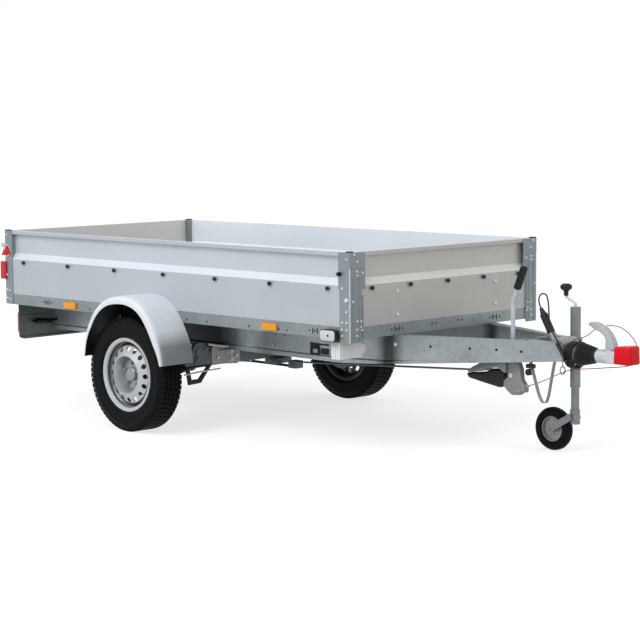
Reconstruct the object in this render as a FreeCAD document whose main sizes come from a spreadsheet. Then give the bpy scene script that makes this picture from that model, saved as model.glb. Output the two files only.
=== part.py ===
"""Utility trailer with a braked single axle, a V drawbar and a jockey wheel.

Frame: +X forward to the coupling, +Y left, +Z up, millimetres.
Origin: on the floor, under the centre of the overall box.
"""
import FreeCAD
import Part
import Sketcher
import math
import os
import re

os.makedirs("parts", exist_ok=True)
DOC = FreeCAD.newDocument("utility_trailer")
SHEET = DOC.addObject("Spreadsheet::Sheet", "Sizes")
VEC = FreeCAD.Vector

# Driving dimensions in millimetres, angles in degrees: alias, value, what it is.
SIZES = [
    # bed and frame
    ("bed_length", 2598, "bed over the corner posts, along X"),
    ("bed_width", 1305, "bed over the corner posts, along Y"),
    ("frame_underside", 543, "floor to the underside of the frame rails"),
    ("rail_height", 56, "frame rail height"),
    ("rail_flange", 45, "frame rail flange width"),
    ("rail_plate", 3, "frame rail sheet"),
    ("post_plate", 3, "corner post sheet"),
    ("slot_height", 26, "tie-down slot"),
    ("slot_width", 8, "tie-down slot along the rail"),
    ("slot_spread", 28, "the two slots of a pair, centre to centre"),
    ("slot_front", 226, "front pair of side slots behind the bed front"),
    ("slot_rear", 362, "rear pair of side slots ahead of the bed's rear"),
    ("slot_inset", 310.5, "front rail's pairs of slots inside the bed's sides"),
    ("floor_thickness", 12, "floor panel"),
    ("bearer_width", 40, "floor bearer flange"),
    ("bearer_count", 4, "floor bearers between the end rails"),
    # walls
    ("wall_height", 337, "wall above the frame rail"),
    ("wall_thickness", 30, "whole wall"),
    ("wall_recess", 20, "depth of the inset upper panel"),
    ("top_rail_height", 17, "rail along the wall's top edge"),
    ("upper_panel_height", 102, "inset upper panel"),
    ("step_height", 32, "sloped band under the upper panel"),
    ("front_post_side", 66, "front post, leg along the side"),
    ("front_post_front", 77, "front post, leg along the front"),
    ("front_post_drop", 14, "front post below the frame rail"),
    ("sleeve_side", 72, "upper sleeve of the front post, along the side"),
    ("sleeve_front", 100, "upper sleeve of the front post, along the front"),
    ("sleeve_height", 166, "upper sleeve of the front post, height"),
    ("rear_post_side", 62, "rear post, along the side"),
    ("rear_post_rear", 47, "rear post, along the rear"),
    ("cap_side", 28, "post cap, square"),
    ("cap_height", 5, "post cap"),
    ("cap_corner", 4, "rounding of the post caps"),
    ("tailgate_gap", 6, "tailgate clearance to posts and floor"),
    ("hinge_radius", 7, "tailgate hinge barrel"),
    ("hinge_pin_radius", 4, "tailgate hinge pin"),
    ("hinge_setback", 11, "tailgate hinge axis behind the bed"),
    ("hinge_length", 50, "one hinge knuckle"),
    ("hinge_leaf", 3, "hinge leaf sheet"),
    ("hinge_leaf_height", 34, "hinge leaf on the tailgate"),
    ("hinge_inset", 212.5, "outer hinges inside the bed's sides"),
    # knobs
    ("knob_drop", 166, "tarp knobs below the walls' top"),
    ("knob_radius", 10, "tarp knob head"),
    ("knob_stem", 6, "tarp knob stem radius"),
    ("knob_reach", 11, "tarp knob length"),
    ("knob_head", 5, "tarp knob head thickness"),
    ("side_knob_first", 138, "first side knob behind the bed front"),
    ("side_knob_last", 165, "last side knob ahead of the bed's rear"),
    ("side_knob_count", 7, "knobs on a side"),
    ("end_knob_inset", 141.5, "outer end knobs inside the bed's sides"),
    ("end_knob_count", 5, "knobs on an end"),
    # chassis legs
    ("leg_inset", 282.5, "leg's outer face inside the bed's side"),
    ("leg_bend", 50, "bend of the leg behind the bed front"),
    ("leg_reach", 713, "top of the leg's front end ahead of the bed"),
    ("leg_nose_half", 96, "leg's outer face from the centre at its front end"),
    ("leg_depth", 134, "leg depth under the bed"),
    ("leg_nose_depth", 84, "leg depth at its front end"),
    ("leg_nose_slant", 45, "how far the lower corner of the front end leads"),
    ("leg_flange", 50, "leg flange width"),
    ("leg_plate", 4, "leg sheet"),
    ("leg_hole_count", 3, "holes in a leg ahead of the bed"),
    ("leg_hole_radius", 9, "hole in a leg"),
    ("leg_hole_pitch", 160, "leg holes' spacing along X"),
    ("leg_lip", 12, "outward lip along the leg's lower edge"),
    # rear plate
    ("rear_plate_inset", 50, "rear plate ahead of the bed's rear"),
    ("rear_plate_side", 42, "rear plate inside the bed's sides"),
    ("rear_plate_depth", 194, "rear plate below the frame"),
    ("rear_plate_corner", 30, "cut corner of the rear plate"),
    ("rear_plate_sheet", 3, "rear plate sheet"),
    ("rear_plate_flange", 40, "rear plate flange under the rail"),
    # wheels
    ("axle_setback", 1380, "wheel centre behind the bed front"),
    ("wheel_gap", 37.5, "tyre clear of the bed's side"),
    ("tyre_diameter", 564, "tyre, standing"),
    ("tyre_width", 140, "tyre section"),
    ("tyre_wall", 11, "tyre side wall"),
    ("rim_flange_radius", 182, "rim over its flange"),
    ("bead_radius", 165, "bead seat"),
    ("rim_half_width", 51, "half the width between the rim flanges"),
    ("rim_flange_lip", 8, "rim flange thickness over its curl"),
    ("rim_well_radius", 148, "drop centre"),
    ("rim_sheet", 4, "rim sheet"),
    ("rim_offset", 12, "mounting face outboard of the centre plane"),
    ("rim_dish_radius", 72, "flat mounting face of the rim"),
    ("rim_ridge_radius", 92, "ridge round the rim's dished centre"),
    ("rim_ridge_rise", 62, "ridge outboard of the wheel's centre plane"),
    ("rim_shoulder_rise", 36, "outer edge of the rim's cone outboard of the centre plane"),
    ("rim_weld_rise", 5, "inboard edge of the disc's skirt outboard of the centre plane"),
    ("rim_hole_count", 16, "vent holes"),
    ("rim_hole_radius", 12.5, "vent hole"),
    ("rim_hole_circle", 127, "vent hole circle radius"),
    ("stud_count", 5, "wheel studs"),
    ("stud_circle", 56, "stud circle radius"),
    ("stud_radius", 6, "stud"),
    ("stud_length", 20, "stud beyond the mounting face"),
    ("stud_clearance", 0.5, "stud to rim hole, radial"),
    ("hub_radius", 33, "hub nose"),
    ("hub_reach", 24, "hub cap beyond the mounting face"),
    ("drum_radius", 112, "brake drum"),
    ("drum_wall", 9, "brake drum wall"),
    ("drum_width", 98, "brake drum behind the mounting face"),
    ("spindle_radius", 17, "stub axle"),
    ("running_fit", 0.05, "radial clearance of a shaft in its bore"),
    ("touch_gap", 0.3, "gap between curved faces that rest together"),
    ("backplate_radius", 114, "brake backplate"),
    ("backplate_sheet", 3, "brake backplate sheet"),
    # axle
    ("axle_lead", 197, "axle tube ahead of the wheel centre"),
    ("axle_height", 330, "axle tube centre above the floor"),
    ("axle_section", 80, "axle tube, square"),
    ("axle_wall", 6, "axle tube wall"),
    ("axle_inset", 52.5, "axle tube's ends inside the bed's sides"),
    ("seat_length", 130, "axle seat along X"),
    ("seat_width", 62, "axle seat along Y"),
    ("arm_thickness", 38, "swing arm"),
    ("arm_end_radius", 38, "swing arm end"),
    ("boss_radius", 44, "boss that carries the backplate"),
    # mudguard
    ("guard_gap", 10, "mudguard clear of the bed's side"),
    ("guard_overhang", 22, "mudguard beyond the tyre's outer side"),
    ("guard_top", 671, "mudguard top above the floor"),
    ("guard_foot", 350, "mudguard ends above the floor"),
    ("guard_half", 302, "mudguard half length"),
    ("guard_shoulder_drop", 202, "lower shoulder below the mudguard's top"),
    ("guard_shoulder_half", 298, "mudguard half length at the lower shoulder"),
    ("guard_crown_half", 150, "half length of the flat crown"),
    ("guard_bend", 150, "bend radius of the mudguard"),
    ("guard_edge", 22, "rounding between crown and lip"),
    ("guard_corner", 45, "rounding of the mudguard's lower outer corners"),
    ("guard_sheet", 2, "mudguard sheet"),
    ("guard_lip", 42, "depth of the outer lip"),
    ("guard_apron", 120, "inner apron below the mudguard's top"),
    ("stay_width", 34, "mudguard stay along X"),
    ("stay_height", 26, "mudguard stay height"),
    ("stay_spread", 150, "mudguard stays from the wheel centre"),
    # overrun device and coupling
    ("coupling_reach", 374, "nose of the coupling cover ahead of the legs' end"),
    ("shaft_drop", 55, "draw tube axis below the legs' top"),
    ("draw_tube_radius", 25, "draw tube"),
    ("draw_tube_bore", 20, "draw tube inside radius"),
    ("draw_tube_start", -209, "rear end of the draw tube ahead of the legs' end"),
    ("draw_tube_end", 241, "front end of the draw tube ahead of the legs' end"),
    ("housing_start", -258, "rear end of the overrun housing ahead of the legs' end"),
    ("housing_end", 77, "front end of the overrun housing ahead of the legs' end"),
    ("housing_radius", 43, "overrun housing barrel"),
    ("housing_ear", 12, "thickness of the housing's ears"),
    ("housing_ear_rise", 50, "housing ears above the draw tube axis"),
    ("housing_ear_drop", 22, "housing ears below the draw tube axis"),
    ("housing_ear_rear", -209, "rear ears ahead of the legs' end"),
    ("housing_ear_front", -35, "front ears ahead of the legs' end"),
    ("dome_start", -41, "pressed hood over the housing, rear edge"),
    ("dome_end", 18, "pressed hood over the housing, front edge"),
    ("dome_half", 62, "pressed hood half width"),
    ("dome_rise", 70, "pressed hood above the draw tube axis"),
    ("gaiter_end", 166, "gaiter front end ahead of the legs' end"),
    ("gaiter_large", 55, "gaiter at its rear end"),
    ("gaiter_small", 37, "gaiter at its front end"),
    ("gaiter_fold", 7.0, "depth of a gaiter fold"),
    ("gaiter_folds", 6, "gaiter folds"),
    ("gaiter_wall", 3, "gaiter wall"),
    ("neck_start", 174, "rear end of the coupling's neck ahead of the legs' end"),
    ("neck_end", 256, "front end of the coupling's neck ahead of the legs' end"),
    ("neck_radius", 31, "coupling neck"),
    ("head_end", 358, "front end of the coupling head ahead of the legs' end"),
    ("head_rise", 31, "coupling head above the draw tube axis"),
    ("head_drop", 22, "coupling head below the draw tube axis"),
    ("ball_ahead", 328, "ball centre ahead of the legs' end"),
    ("ball_radius", 25, "tow ball"),
    ("socket_clearance", 0.4, "ball socket clearance"),
    ("socket_depth", 14, "straight part of the ball socket"),
    ("cover_start", 286, "rear edge of the red cover ahead of the legs' end"),
    ("cover_half", 43, "red cover half width"),
    ("cover_rise", 54, "red cover above the draw tube axis at its front"),
    ("cover_rear_rise", 46, "red cover above the draw tube axis at its rear"),
    ("cover_drop", 26, "red cover below the draw tube axis"),
    ("cover_wall", 5, "red cover wall"),
    ("cover_edge", 9, "rounding of the red cover"),
    ("handle_half", 17, "coupling handle half width"),
    ("handle_edge", 5, "rounding of the coupling handle"),
    # brake
    ("brake_side", 100, "brake levers to the right of the centre"),
    ("lever_ahead", -231, "handbrake lever ahead of the legs' end"),
    ("lever_bend", 223, "bend of the handbrake lever above the draw tube axis"),
    ("lever_top", 382, "top of the handbrake grip above the draw tube axis"),
    ("lever_lean", 66, "how far the grip's top leads the lever's foot"),
    ("lever_width", 20, "handbrake lever along X"),
    ("lever_sheet", 8, "handbrake lever thickness"),
    ("grip_width", 26, "handbrake grip along X"),
    ("grip_thickness", 22, "handbrake grip along Y"),
    ("grip_length", 112, "handbrake grip"),
    ("casting_half", 21, "half thickness of the reversing lever"),
    ("casting_drop", 201, "reversing lever's lower end below the draw tube axis"),
    ("spring_half", 26, "half thickness of the spring housing"),
    ("rod_radius", 5, "brake rod"),
    ("rod_front_drop", 108, "brake rod's front end below the draw tube axis"),
    ("rod_rear_rise", 15, "brake rod's rear end above the compensator's centre"),
    ("compensator_setback", 1010, "compensator behind the bed front"),
    ("compensator_half", 26, "compensator half width"),
    ("compensator_length", 50, "compensator along X"),
    ("compensator_sheet", 38, "compensator height"),
    ("cable_plate_length", 66, "cable abutment plate under the axle along X"),
    ("cable_plate_half", 60, "cable abutment plate half width"),
    ("cable_plate_sheet", 8, "cable abutment plate"),
    ("brake_cable_radius", 4, "brake cable"),
    # jockey wheel
    ("jockey_ahead", -105, "jockey mast ahead of the legs' end"),
    ("jockey_gap", 20, "jockey mast clear of the leg's lip"),
    ("mast_radius", 24, "jockey outer tube"),
    ("mast_wall", 2.5, "jockey outer tube wall"),
    ("mast_foot", 304, "lower end of the outer tube above the floor"),
    ("mast_top", 671, "upper end of the outer tube above the floor"),
    ("collar_height", 30, "guide collar in the foot of the outer tube"),
    ("inner_radius", 19, "jockey inner tube"),
    ("inner_wall", 2.5, "jockey inner tube wall"),
    ("inner_foot", 134, "lower end of the inner tube above the floor"),
    ("inner_top", 540, "upper end of the inner tube above the floor"),
    ("jockey_wheel_diameter", 200, "jockey wheel"),
    ("jockey_wheel_width", 50, "jockey tyre"),
    ("jockey_trail", 122, "jockey wheel behind its mast"),
    ("jockey_rim_radius", 58, "jockey rim"),
    ("jockey_rim_width", 34, "jockey rim"),
    ("jockey_hub_radius", 15, "jockey hub"),
    ("jockey_pin_radius", 6, "jockey axle pin"),
    ("fork_inner", 31, "half the gap between the fork's arms"),
    ("fork_sheet", 4, "fork arm"),
    ("fork_end_radius", 16, "fork arm end"),
    ("sleeve_wall", 4, "swivel sleeve wall"),
    ("sleeve_foot", 150, "swivel sleeve's lower end above the floor"),
    ("swivel_height", 42, "swivel sleeve"),
    ("crank_rise", 18, "crank shaft above the mast's cap"),
    ("crank_throw", 55, "crank arm"),
    ("crank_radius", 6, "crank rod"),
    ("crank_lift", 30, "how far the crank arm rises"),
    ("crank_knob_radius", 27, "crank knob"),
    ("crank_knob_height", 55, "crank knob"),
    ("clamp_height", 60, "jockey clamp"),
    ("clamp_drop", 74, "jockey clamp's lower edge below the legs' top"),
    ("clamp_wall", 7, "jockey clamp wall"),
    # lights
    ("marker_depth", 41, "rear marker lamp"),
    ("marker_foot", 672, "rear marker lamp above the floor"),
    ("marker_height", 102, "rear marker lamp"),
    ("lamp_depth", 38, "rear lamp"),
    ("lamp_width", 220, "rear lamp"),
    ("lamp_height", 120, "rear lamp"),
    ("lamp_inset", 172.5, "rear lamp centre inside the bed's side"),
    ("lamp_foot", 377, "rear lamp above the floor"),
    ("reflector_length", 96, "side reflector"),
    ("reflector_height", 32, "side reflector"),
    ("reflector_depth", 9, "side reflector"),
    ("reflector_foot", 552, "side reflector above the floor"),
    ("reflector_rear", 563, "rear side reflector ahead of the bed's rear"),
    ("reflector_front", 524, "front side reflector behind the bed front"),
    ("front_lamp_setback", 135, "front lamp centre behind the bed front"),
    ("front_lamp_length", 96, "front lamp lens"),
    ("front_lamp_height", 50, "front lamp lens"),
    ("front_lamp_depth", 28, "front lamp lens"),
    ("front_lamp_foot", 535, "front lamp above the floor"),
    ("front_lamp_base", 8, "front lamp base thickness"),
    ("front_lamp_rim", 14, "front lamp base beyond the lens along X"),
    ("lens_edge", 8, "rounding of the lenses"),
    # small pieces
    ("chock_setback", 69, "wheel chock behind the bed front"),
    ("chock_length", 65, "wheel chock along X"),
    ("chock_width", 163, "wheel chock along Y"),
    ("chock_height", 78, "wheel chock height"),
    ("chock_gap", 15, "wheel chock below the frame"),
    ("chock_rib_count", 3, "grooves in the chock's outer side"),
    ("chock_groove", 5, "groove in the chock's outer side"),
    ("chock_notch", 18, "notch at the chock's inner corners along Y"),
    ("holder_width", 24, "chock holder strap"),
    ("strap_sheet", 3, "hanging strap thickness"),
    ("strap_width", 20, "hanging strap width"),
    ("ring_radius", 17, "guide ring"),
    ("ring_wire", 3, "guide ring wire radius"),
    ("ring_ahead", 31, "guide ring ahead of the legs' end"),
    ("ring_drop", 70, "guide ring below the draw tube axis"),
    ("ring_side", 73, "guide ring to the right of the centre"),
    ("plug_radius", 18, "plug"),
    ("plug_length", 125, "plug"),
    ("plug_ahead", -66, "foot of the plug ahead of the legs' end"),
    ("plug_side", 30, "plug to the right of the centre"),
    ("plug_rise", 85, "foot of the plug above the draw tube axis"),
    ("plug_lean", 30, "plug's rearward lean, degrees"),
    ("strap_start", -128, "rear end of the hanging strap ahead of the legs' end"),
    ("strap_length", 135, "hanging strap along X"),
    ("strap_drop", 219, "foot of the hanging strap below the draw tube axis"),
    ("strap_height", 187, "hanging strap"),
    ("cable_radius", 3.5, "main cable"),
    ("red_cable_radius", 2, "breakaway cable"),
    ("coil_start", 21, "cable coil's rear face ahead of the legs' end"),
    ("coil_length", 46, "cable coil along X"),
    ("coil_inner", 51, "inside radius of the cable coil"),
    ("coil_outer", 63, "outside radius of the cable coil"),
    ("hood_sheet", 4, "pressed hood thickness"),
    ("hood_drop", 10, "pressed hood below the draw tube axis"),
    ("brake_lug", 58.1, "brake lug under the housing along X"),
    ("brake_lug_height", 16, "brake lug under the housing"),
    ("handle_start", 125, "rear tip of the coupling handle ahead of the legs' end"),
    ("handle_length", 150.2, "coupling handle along X"),
    ("handle_seat", 34, "handle seat above the draw tube axis"),
    ("handle_height", 115.2, "coupling handle above its seat"),
    ("seat_start", 210, "handle seat's rear edge ahead of the legs' end"),
    ("seat_end", 255, "handle seat's front edge ahead of the legs' end"),
    ("casting_start", -308, "reversing lever's rear edge ahead of the legs' end"),
    ("casting_length", 162.8, "reversing lever along X"),
    ("casting_height", 158.5, "reversing lever"),
    ("casting_slot", 12, "slot in the reversing lever along X"),
    ("casting_slot_height", 32, "slot in the reversing lever"),
    ("spring_start", -492, "spring housing's rear edge ahead of the legs' end"),
    ("spring_length", 235.5, "spring housing along X"),
    ("spring_drop", 160, "spring housing's lower edge below the draw tube axis"),
    ("spring_height", 109.3, "spring housing"),
    ("compensator_drop", 44, "compensator's centre below the axle tube's"),
    ("brake_cable_drop", 12, "brake cables below the compensator's centre"),
    ("brake_cable_side", 14, "brake cables from the centre at the compensator"),
    ("brake_cable_back", 75, "brake cables behind the wheel centres"),
    ("brake_cable_bend", 120, "bend of the brake cables"),
    ("rod_rear_side", 20, "brake rod's rear end to the right of the centre"),
    ("crank_neck", 11, "crank knob neck"),
    ("crank_bend", 10, "bends of the crank rod"),
    ("route_unit", 100, "unit of the cord and strap route tables"),
    ("latch_sheet", 8, "tailgate latch cam thickness"),
    ("latch_length", 80, "tailgate latch cam along X"),
    ("latch_height", 55, "tailgate latch cam"),
    ("latch_foot", 801, "tailgate latch cam above the floor"),
    ("latch_tail", 30, "tailgate latch cam beyond the post's rear face"),
    ("latch_tube", 12, "tailgate latch handle radius"),
    ("latch_reach", 40, "tailgate latch handle beyond the post's rear face"),
    ("latch_rise", 857, "tailgate latch handle above the floor"),
]


def fill_sheet():
    for row, (alias, value, note) in enumerate(SIZES, start=1):
        SHEET.set("A%d" % row, note)
        SHEET.set("B%d" % row, str(value))
        SHEET.setAlias("B%d" % row, alias)
    DOC.recompute()


ALIASES = re.compile(r"\b(" + "|".join(sorted((size[0] for size in SIZES), key=len, reverse=True)) + r")\b")


# Sizes that follow from the driving ones; a name may use those below it
FOLLOWING = [
    ("guard_outer", "(track_half + tyre_width / 2 + guard_overhang)"),
    ("guard_inner", "(bed_width / 2 + guard_gap)"),
    ("track_half", "(bed_width / 2 + wheel_gap + tyre_width / 2)"),
    ("axle_half", "(bed_width / 2 - axle_inset)"),
    ("rear_plate_half", "(bed_width / 2 - rear_plate_side)"),
    ("lamp_side", "(bed_width / 2 - lamp_inset)"),
    ("end_knob_pitch", "((bed_width - 2 * end_knob_inset) / (end_knob_count - 1))"),
    ("jockey_side", "(leg_nose_half - jockey_ahead * leg_slope + leg_lip + mast_radius + jockey_gap)"),
    ("leg_slope", "((leg_spread - leg_nose_half) / (leg_reach + leg_bend))"),
    ("leg_spread", "(bed_width / 2 - leg_inset)"),
    ("hinge_spread", "(bed_width / 2 - hinge_inset)"),
    ("slot_side", "(bed_width / 2 - slot_inset)"),
    ("knob_height", "(frame_underside + rail_height + wall_height - knob_drop)"),
    ("side_knob_pitch", "((bed_length - side_knob_first - side_knob_last) / (side_knob_count - 1))"),
    ("clamp_foot", "(frame_underside - clamp_drop)"),
    ("casting_foot", "(shaft_height - casting_drop)"),
    ("spring_foot", "(shaft_height - spring_drop)"),
    ("rod_front_height", "(shaft_height - rod_front_drop)"),
    ("ring_height", "(shaft_height - ring_drop)"),
    ("strap_foot", "(shaft_height - strap_drop)"),
    ("shaft_height", "(frame_underside - shaft_drop)"),
    ("rod_rear_height", "(compensator_height + rod_rear_rise)"),
    ("brake_cable_height", "(compensator_height - brake_cable_drop)"),
    ("compensator_height", "(axle_height - compensator_drop)"),
]


def cells(text):
    """An expression with every alias written as a cell of the sheet."""
    text = str(text)
    for name, expression in FOLLOWING:
        text = re.sub(r"\b%s\b" % name, expression, text)
    return ALIASES.sub(lambda found: "Sizes." + found.group(0), text)


def size(text):
    """The value of an expression of sizes."""
    return float(SHEET.evalExpression(cells(text)))


fill_sheet()
NODES = {}


def node(name, shape_object):
    shape_object.Label = name
    NODES[name] = shape_object
    return shape_object


# Shapes from expressions

UPRIGHT = FreeCAD.Rotation()
ALONG_X = FreeCAD.Rotation(VEC(0, 1, 0), 90)
ALONG_Y = FreeCAD.Rotation(VEC(1, 0, 0), -90)
TURNS = {"X": ALONG_X, "Y": ALONG_Y, "Z": UPRIGHT}


def plane_of(body, role):
    return next(item for item in body.Origin.OriginFeatures if item.Role == role)


def outline_sketch(body, name, role, points, offset="0"):
    """A closed outline whose corners are bound to the sheet, offset along the plane's normal."""
    sketch = body.newObject("Sketcher::SketchObject", name)
    sketch.AttachmentSupport = [(plane_of(body, role), "")]
    sketch.MapMode = "FlatFace"
    sketch.setExpression("AttachmentOffset.Base.z", cells(offset))
    corners = [VEC(size(across), size(along), 0) for across, along in points]
    for index, corner in enumerate(corners):
        sketch.addGeometry(Part.LineSegment(corner, corners[(index + 1) % len(corners)]))
    for index in range(len(corners)):
        sketch.addConstraint(Sketcher.Constraint("Coincident", index, 2, (index + 1) % len(corners), 1))
    for index, (across, along) in enumerate(points):
        for kind, text, value in (("DistanceX", across, corners[index].x), ("DistanceY", along, corners[index].y)):
            row = sketch.addConstraint(Sketcher.Constraint(kind, -1, 1, index, 1, value))
            sketch.setExpression("Constraints[%d]" % row, cells(text))
    return sketch


def prism(name, role, points, low, high):
    """A straight piece: one outline, from low to high along the axis across its plane."""
    body = DOC.addObject("PartDesign::Body", name)
    offset = "-(%s)" % high if role == "XZ_Plane" else low
    sketch = outline_sketch(body, name + "_outline", role, points, offset)
    pad = body.newObject("PartDesign::Pad", name + "_pad")
    pad.Profile = sketch
    pad.setExpression("Length", cells("(%s) - (%s)" % (high, low)))
    body.Tip = pad
    return body


def spun(name, axis, points, at):
    """A turned piece: an outline of radius and place along the axis, turned about that axis."""
    body = DOC.addObject("PartDesign::Body", name)
    role = "XZ_Plane" if axis == "Z" else "XY_Plane"
    drawn = [(along, radius) for radius, along in points] if axis == "X" else points
    sketch = outline_sketch(body, name + "_outline", role, drawn)
    turn = body.newObject("PartDesign::Revolution", name + "_turn")
    turn.Profile = sketch
    turn.ReferenceAxis = (sketch, ["H_Axis" if axis == "X" else "V_Axis"])
    turn.Angle = 360
    body.Tip = turn
    place(body, at)
    return body


def place(item, at):
    for letter, text in zip("xyz", at):
        item.setExpression("Placement.Base." + letter, cells(text))


def block(name, x, y, z):
    """A box between low and high expressions along X, Y and Z."""
    box = DOC.addObject("Part::Box", name)
    for side, (low, high) in zip(("Length", "Width", "Height"), (x, y, z)):
        box.setExpression(side, cells("(%s) - (%s)" % (high, low)))
    place(box, (x[0], y[0], z[0]))
    return box


def rod(name, axis, start, radius, length):
    cylinder = DOC.addObject("Part::Cylinder", name)
    cylinder.Placement = FreeCAD.Placement(VEC(), TURNS[axis])
    cylinder.setExpression("Radius", cells(radius))
    cylinder.setExpression("Height", cells(length))
    place(cylinder, start)
    return cylinder


def fused(name, pieces):
    result = DOC.addObject("Part::MultiFuse", name)
    result.Shapes = pieces
    result.Refine = True
    return result


def cut(name, base, tools):
    result = DOC.addObject("Part::Cut", name)
    result.Base = base
    result.Tool = tools[0] if len(tools) == 1 else group(name + "_tools", tools)
    return result


def common(name, first, second):
    result = DOC.addObject("Part::Common", name)
    result.Base = first
    result.Tool = second
    return result


def group(name, pieces):
    """Pieces that don't touch, kept as separate solids of one object."""
    result = DOC.addObject("Part::Compound", name)
    result.Links = pieces
    return result


def mirrored(name, source):
    result = DOC.addObject("Part::Mirroring", name)
    result.Source = source
    result.Normal = (0, 1, 0)
    return result


def both(name, right):
    """The right-hand piece and its mirror image on the left."""
    return group(name, [right, mirrored(name + "_left", right)])


def made(name, shape):
    feature = DOC.addObject("Part::Feature", name)
    feature.Shape = shape
    return feature


def path_edges(points, radii, closed):
    """Straight runs joined by tangent arcs; a corner's radius of zero leaves it sharp."""
    count = len(points)
    corners = range(count) if closed else range(1, count - 1)
    entry = list(points)
    leave = list(points)
    middle = [None] * count
    for index in corners:
        radius = radii[index]
        if radius == 0:
            continue
        point = points[index]
        back = (points[index - 1] - point).normalize()
        ahead = (points[(index + 1) % count] - point).normalize()
        half = back.getAngle(ahead) / 2
        reach = radius / math.tan(half)
        entry[index] = point + back * reach
        leave[index] = point + ahead * reach
        inward = (back + ahead).normalize()
        middle[index] = point + inward * (radius / math.sin(half) - radius)
    edges = []
    for index in range(count):
        if middle[index] is not None:
            arc = Part.Arc(entry[index], middle[index], leave[index])
            edges.append(arc.toShape())
        if closed or index < count - 1:
            after = entry[(index + 1) % count]
            if leave[index].distanceToPoint(after) > 1e-6:
                edges.append(Part.LineSegment(leave[index], after).toShape())
    return edges


def rounded_face(points, radii):
    return Part.Face(Part.Wire(path_edges(points, radii, True)))


def side_view(points):
    """Corners in the XZ plane from pairs of expressions."""
    return [VEC(size(x), 0, size(z)) for x, z in points]


def slab(points, radii, low, high):
    """A side view with rounded corners, from low to high along Y."""
    face = rounded_face(side_view(points), radii)
    face.translate(VEC(0, low, 0))
    return face.extrude(VEC(0, high - low, 0))


def front_slab(half, low, high, radius, start, end):
    """A front view with rounded upper corners, from start to end along X."""
    face = rounded_face([VEC(start, -half, low), VEC(start, -half, high), VEC(start, half, high),
                         VEC(start, half, low)], [0, radius, radius, 0])
    return face.extrude(VEC(end - start, 0, 0))


def plan_slab(half, start, end, radius, low, high):
    """A plan view with rounded front corners, from low to high along Z."""
    face = rounded_face([VEC(start, -half, low), VEC(end, -half, low), VEC(end, half, low),
                         VEC(start, half, low)], [0, radius, radius, 0])
    return face.extrude(VEC(0, 0, high - low))


def edges_where(shape, test):
    return [edge for edge in shape.Edges if test(edge)]


# Shared places

OVERALL = "(bed_length + leg_reach + coupling_reach + marker_depth)"
FRONT = "(%s / 2 - leg_reach - coupling_reach)" % OVERALL
LEG_END = "(%s + leg_reach)" % FRONT
REAR = "(%s - bed_length)" % FRONT
RAIL_TOP = "(frame_underside + rail_height)"
WALL_TOP = "(%s + wall_height)" % RAIL_TOP
FLOOR_TOP = "(%s + floor_thickness)" % RAIL_TOP
OUTER = "(bed_width / 2 - post_plate)"
WALL_INNER = "(%s - wall_thickness)" % OUTER
AXLE_X = "(%s - axle_setback)" % FRONT
AXLE_Z = "(tyre_diameter / 2)"
BEAM_X = "(%s + axle_lead)" % AXLE_X
AXIS_Z = "shaft_height"


def ahead(text):
    return "(%s + (%s))" % (FRONT, text)


def behind(text):
    return "(%s - (%s))" % (FRONT, text)


def drawn(text):
    """A place along the drawbar, ahead of the legs' front end."""
    return "(%s + (%s))" % (LEG_END, text)


# Frame

def channel(outer, inward, low, high, flange, plate):
    """A C section's corners: web at outer, flanges running inward by sign."""
    web = "(%s) + (%s) * %s" % (outer, inward, plate)
    tip = "(%s) + (%s) * %s" % (outer, inward, flange)
    return [
        (outer, low), (tip, low), (tip, "(%s) + %s" % (low, plate)), (web, "(%s) + %s" % (low, plate)),
        (web, "(%s) - %s" % (high, plate)), (tip, "(%s) - %s" % (high, plate)), (tip, high), (outer, high),
    ]


def slots(name, along, across, reach):
    """A pair of tie-down slots through a rail's web: two upright slots side by side."""
    z = "%s - rail_height / 2" % RAIL_TOP
    tools = []
    for index, sign in enumerate(("-1", "1"), start=1):
        middle = "%s + (%s) * slot_spread / 2" % (along, sign)
        run = ("%s - slot_width / 2" % middle, "%s + slot_width / 2" % middle)
        wall = ("%s - %s" % (across, reach), "%s + %s" % (across, reach))
        x, y = (run, wall) if name.startswith("side") else (wall, run)
        tools.append(block("%s_%d" % (name, index), x, y, ("%s - slot_height / 2" % z, "%s + slot_height / 2" % z)))
    return tools


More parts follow.
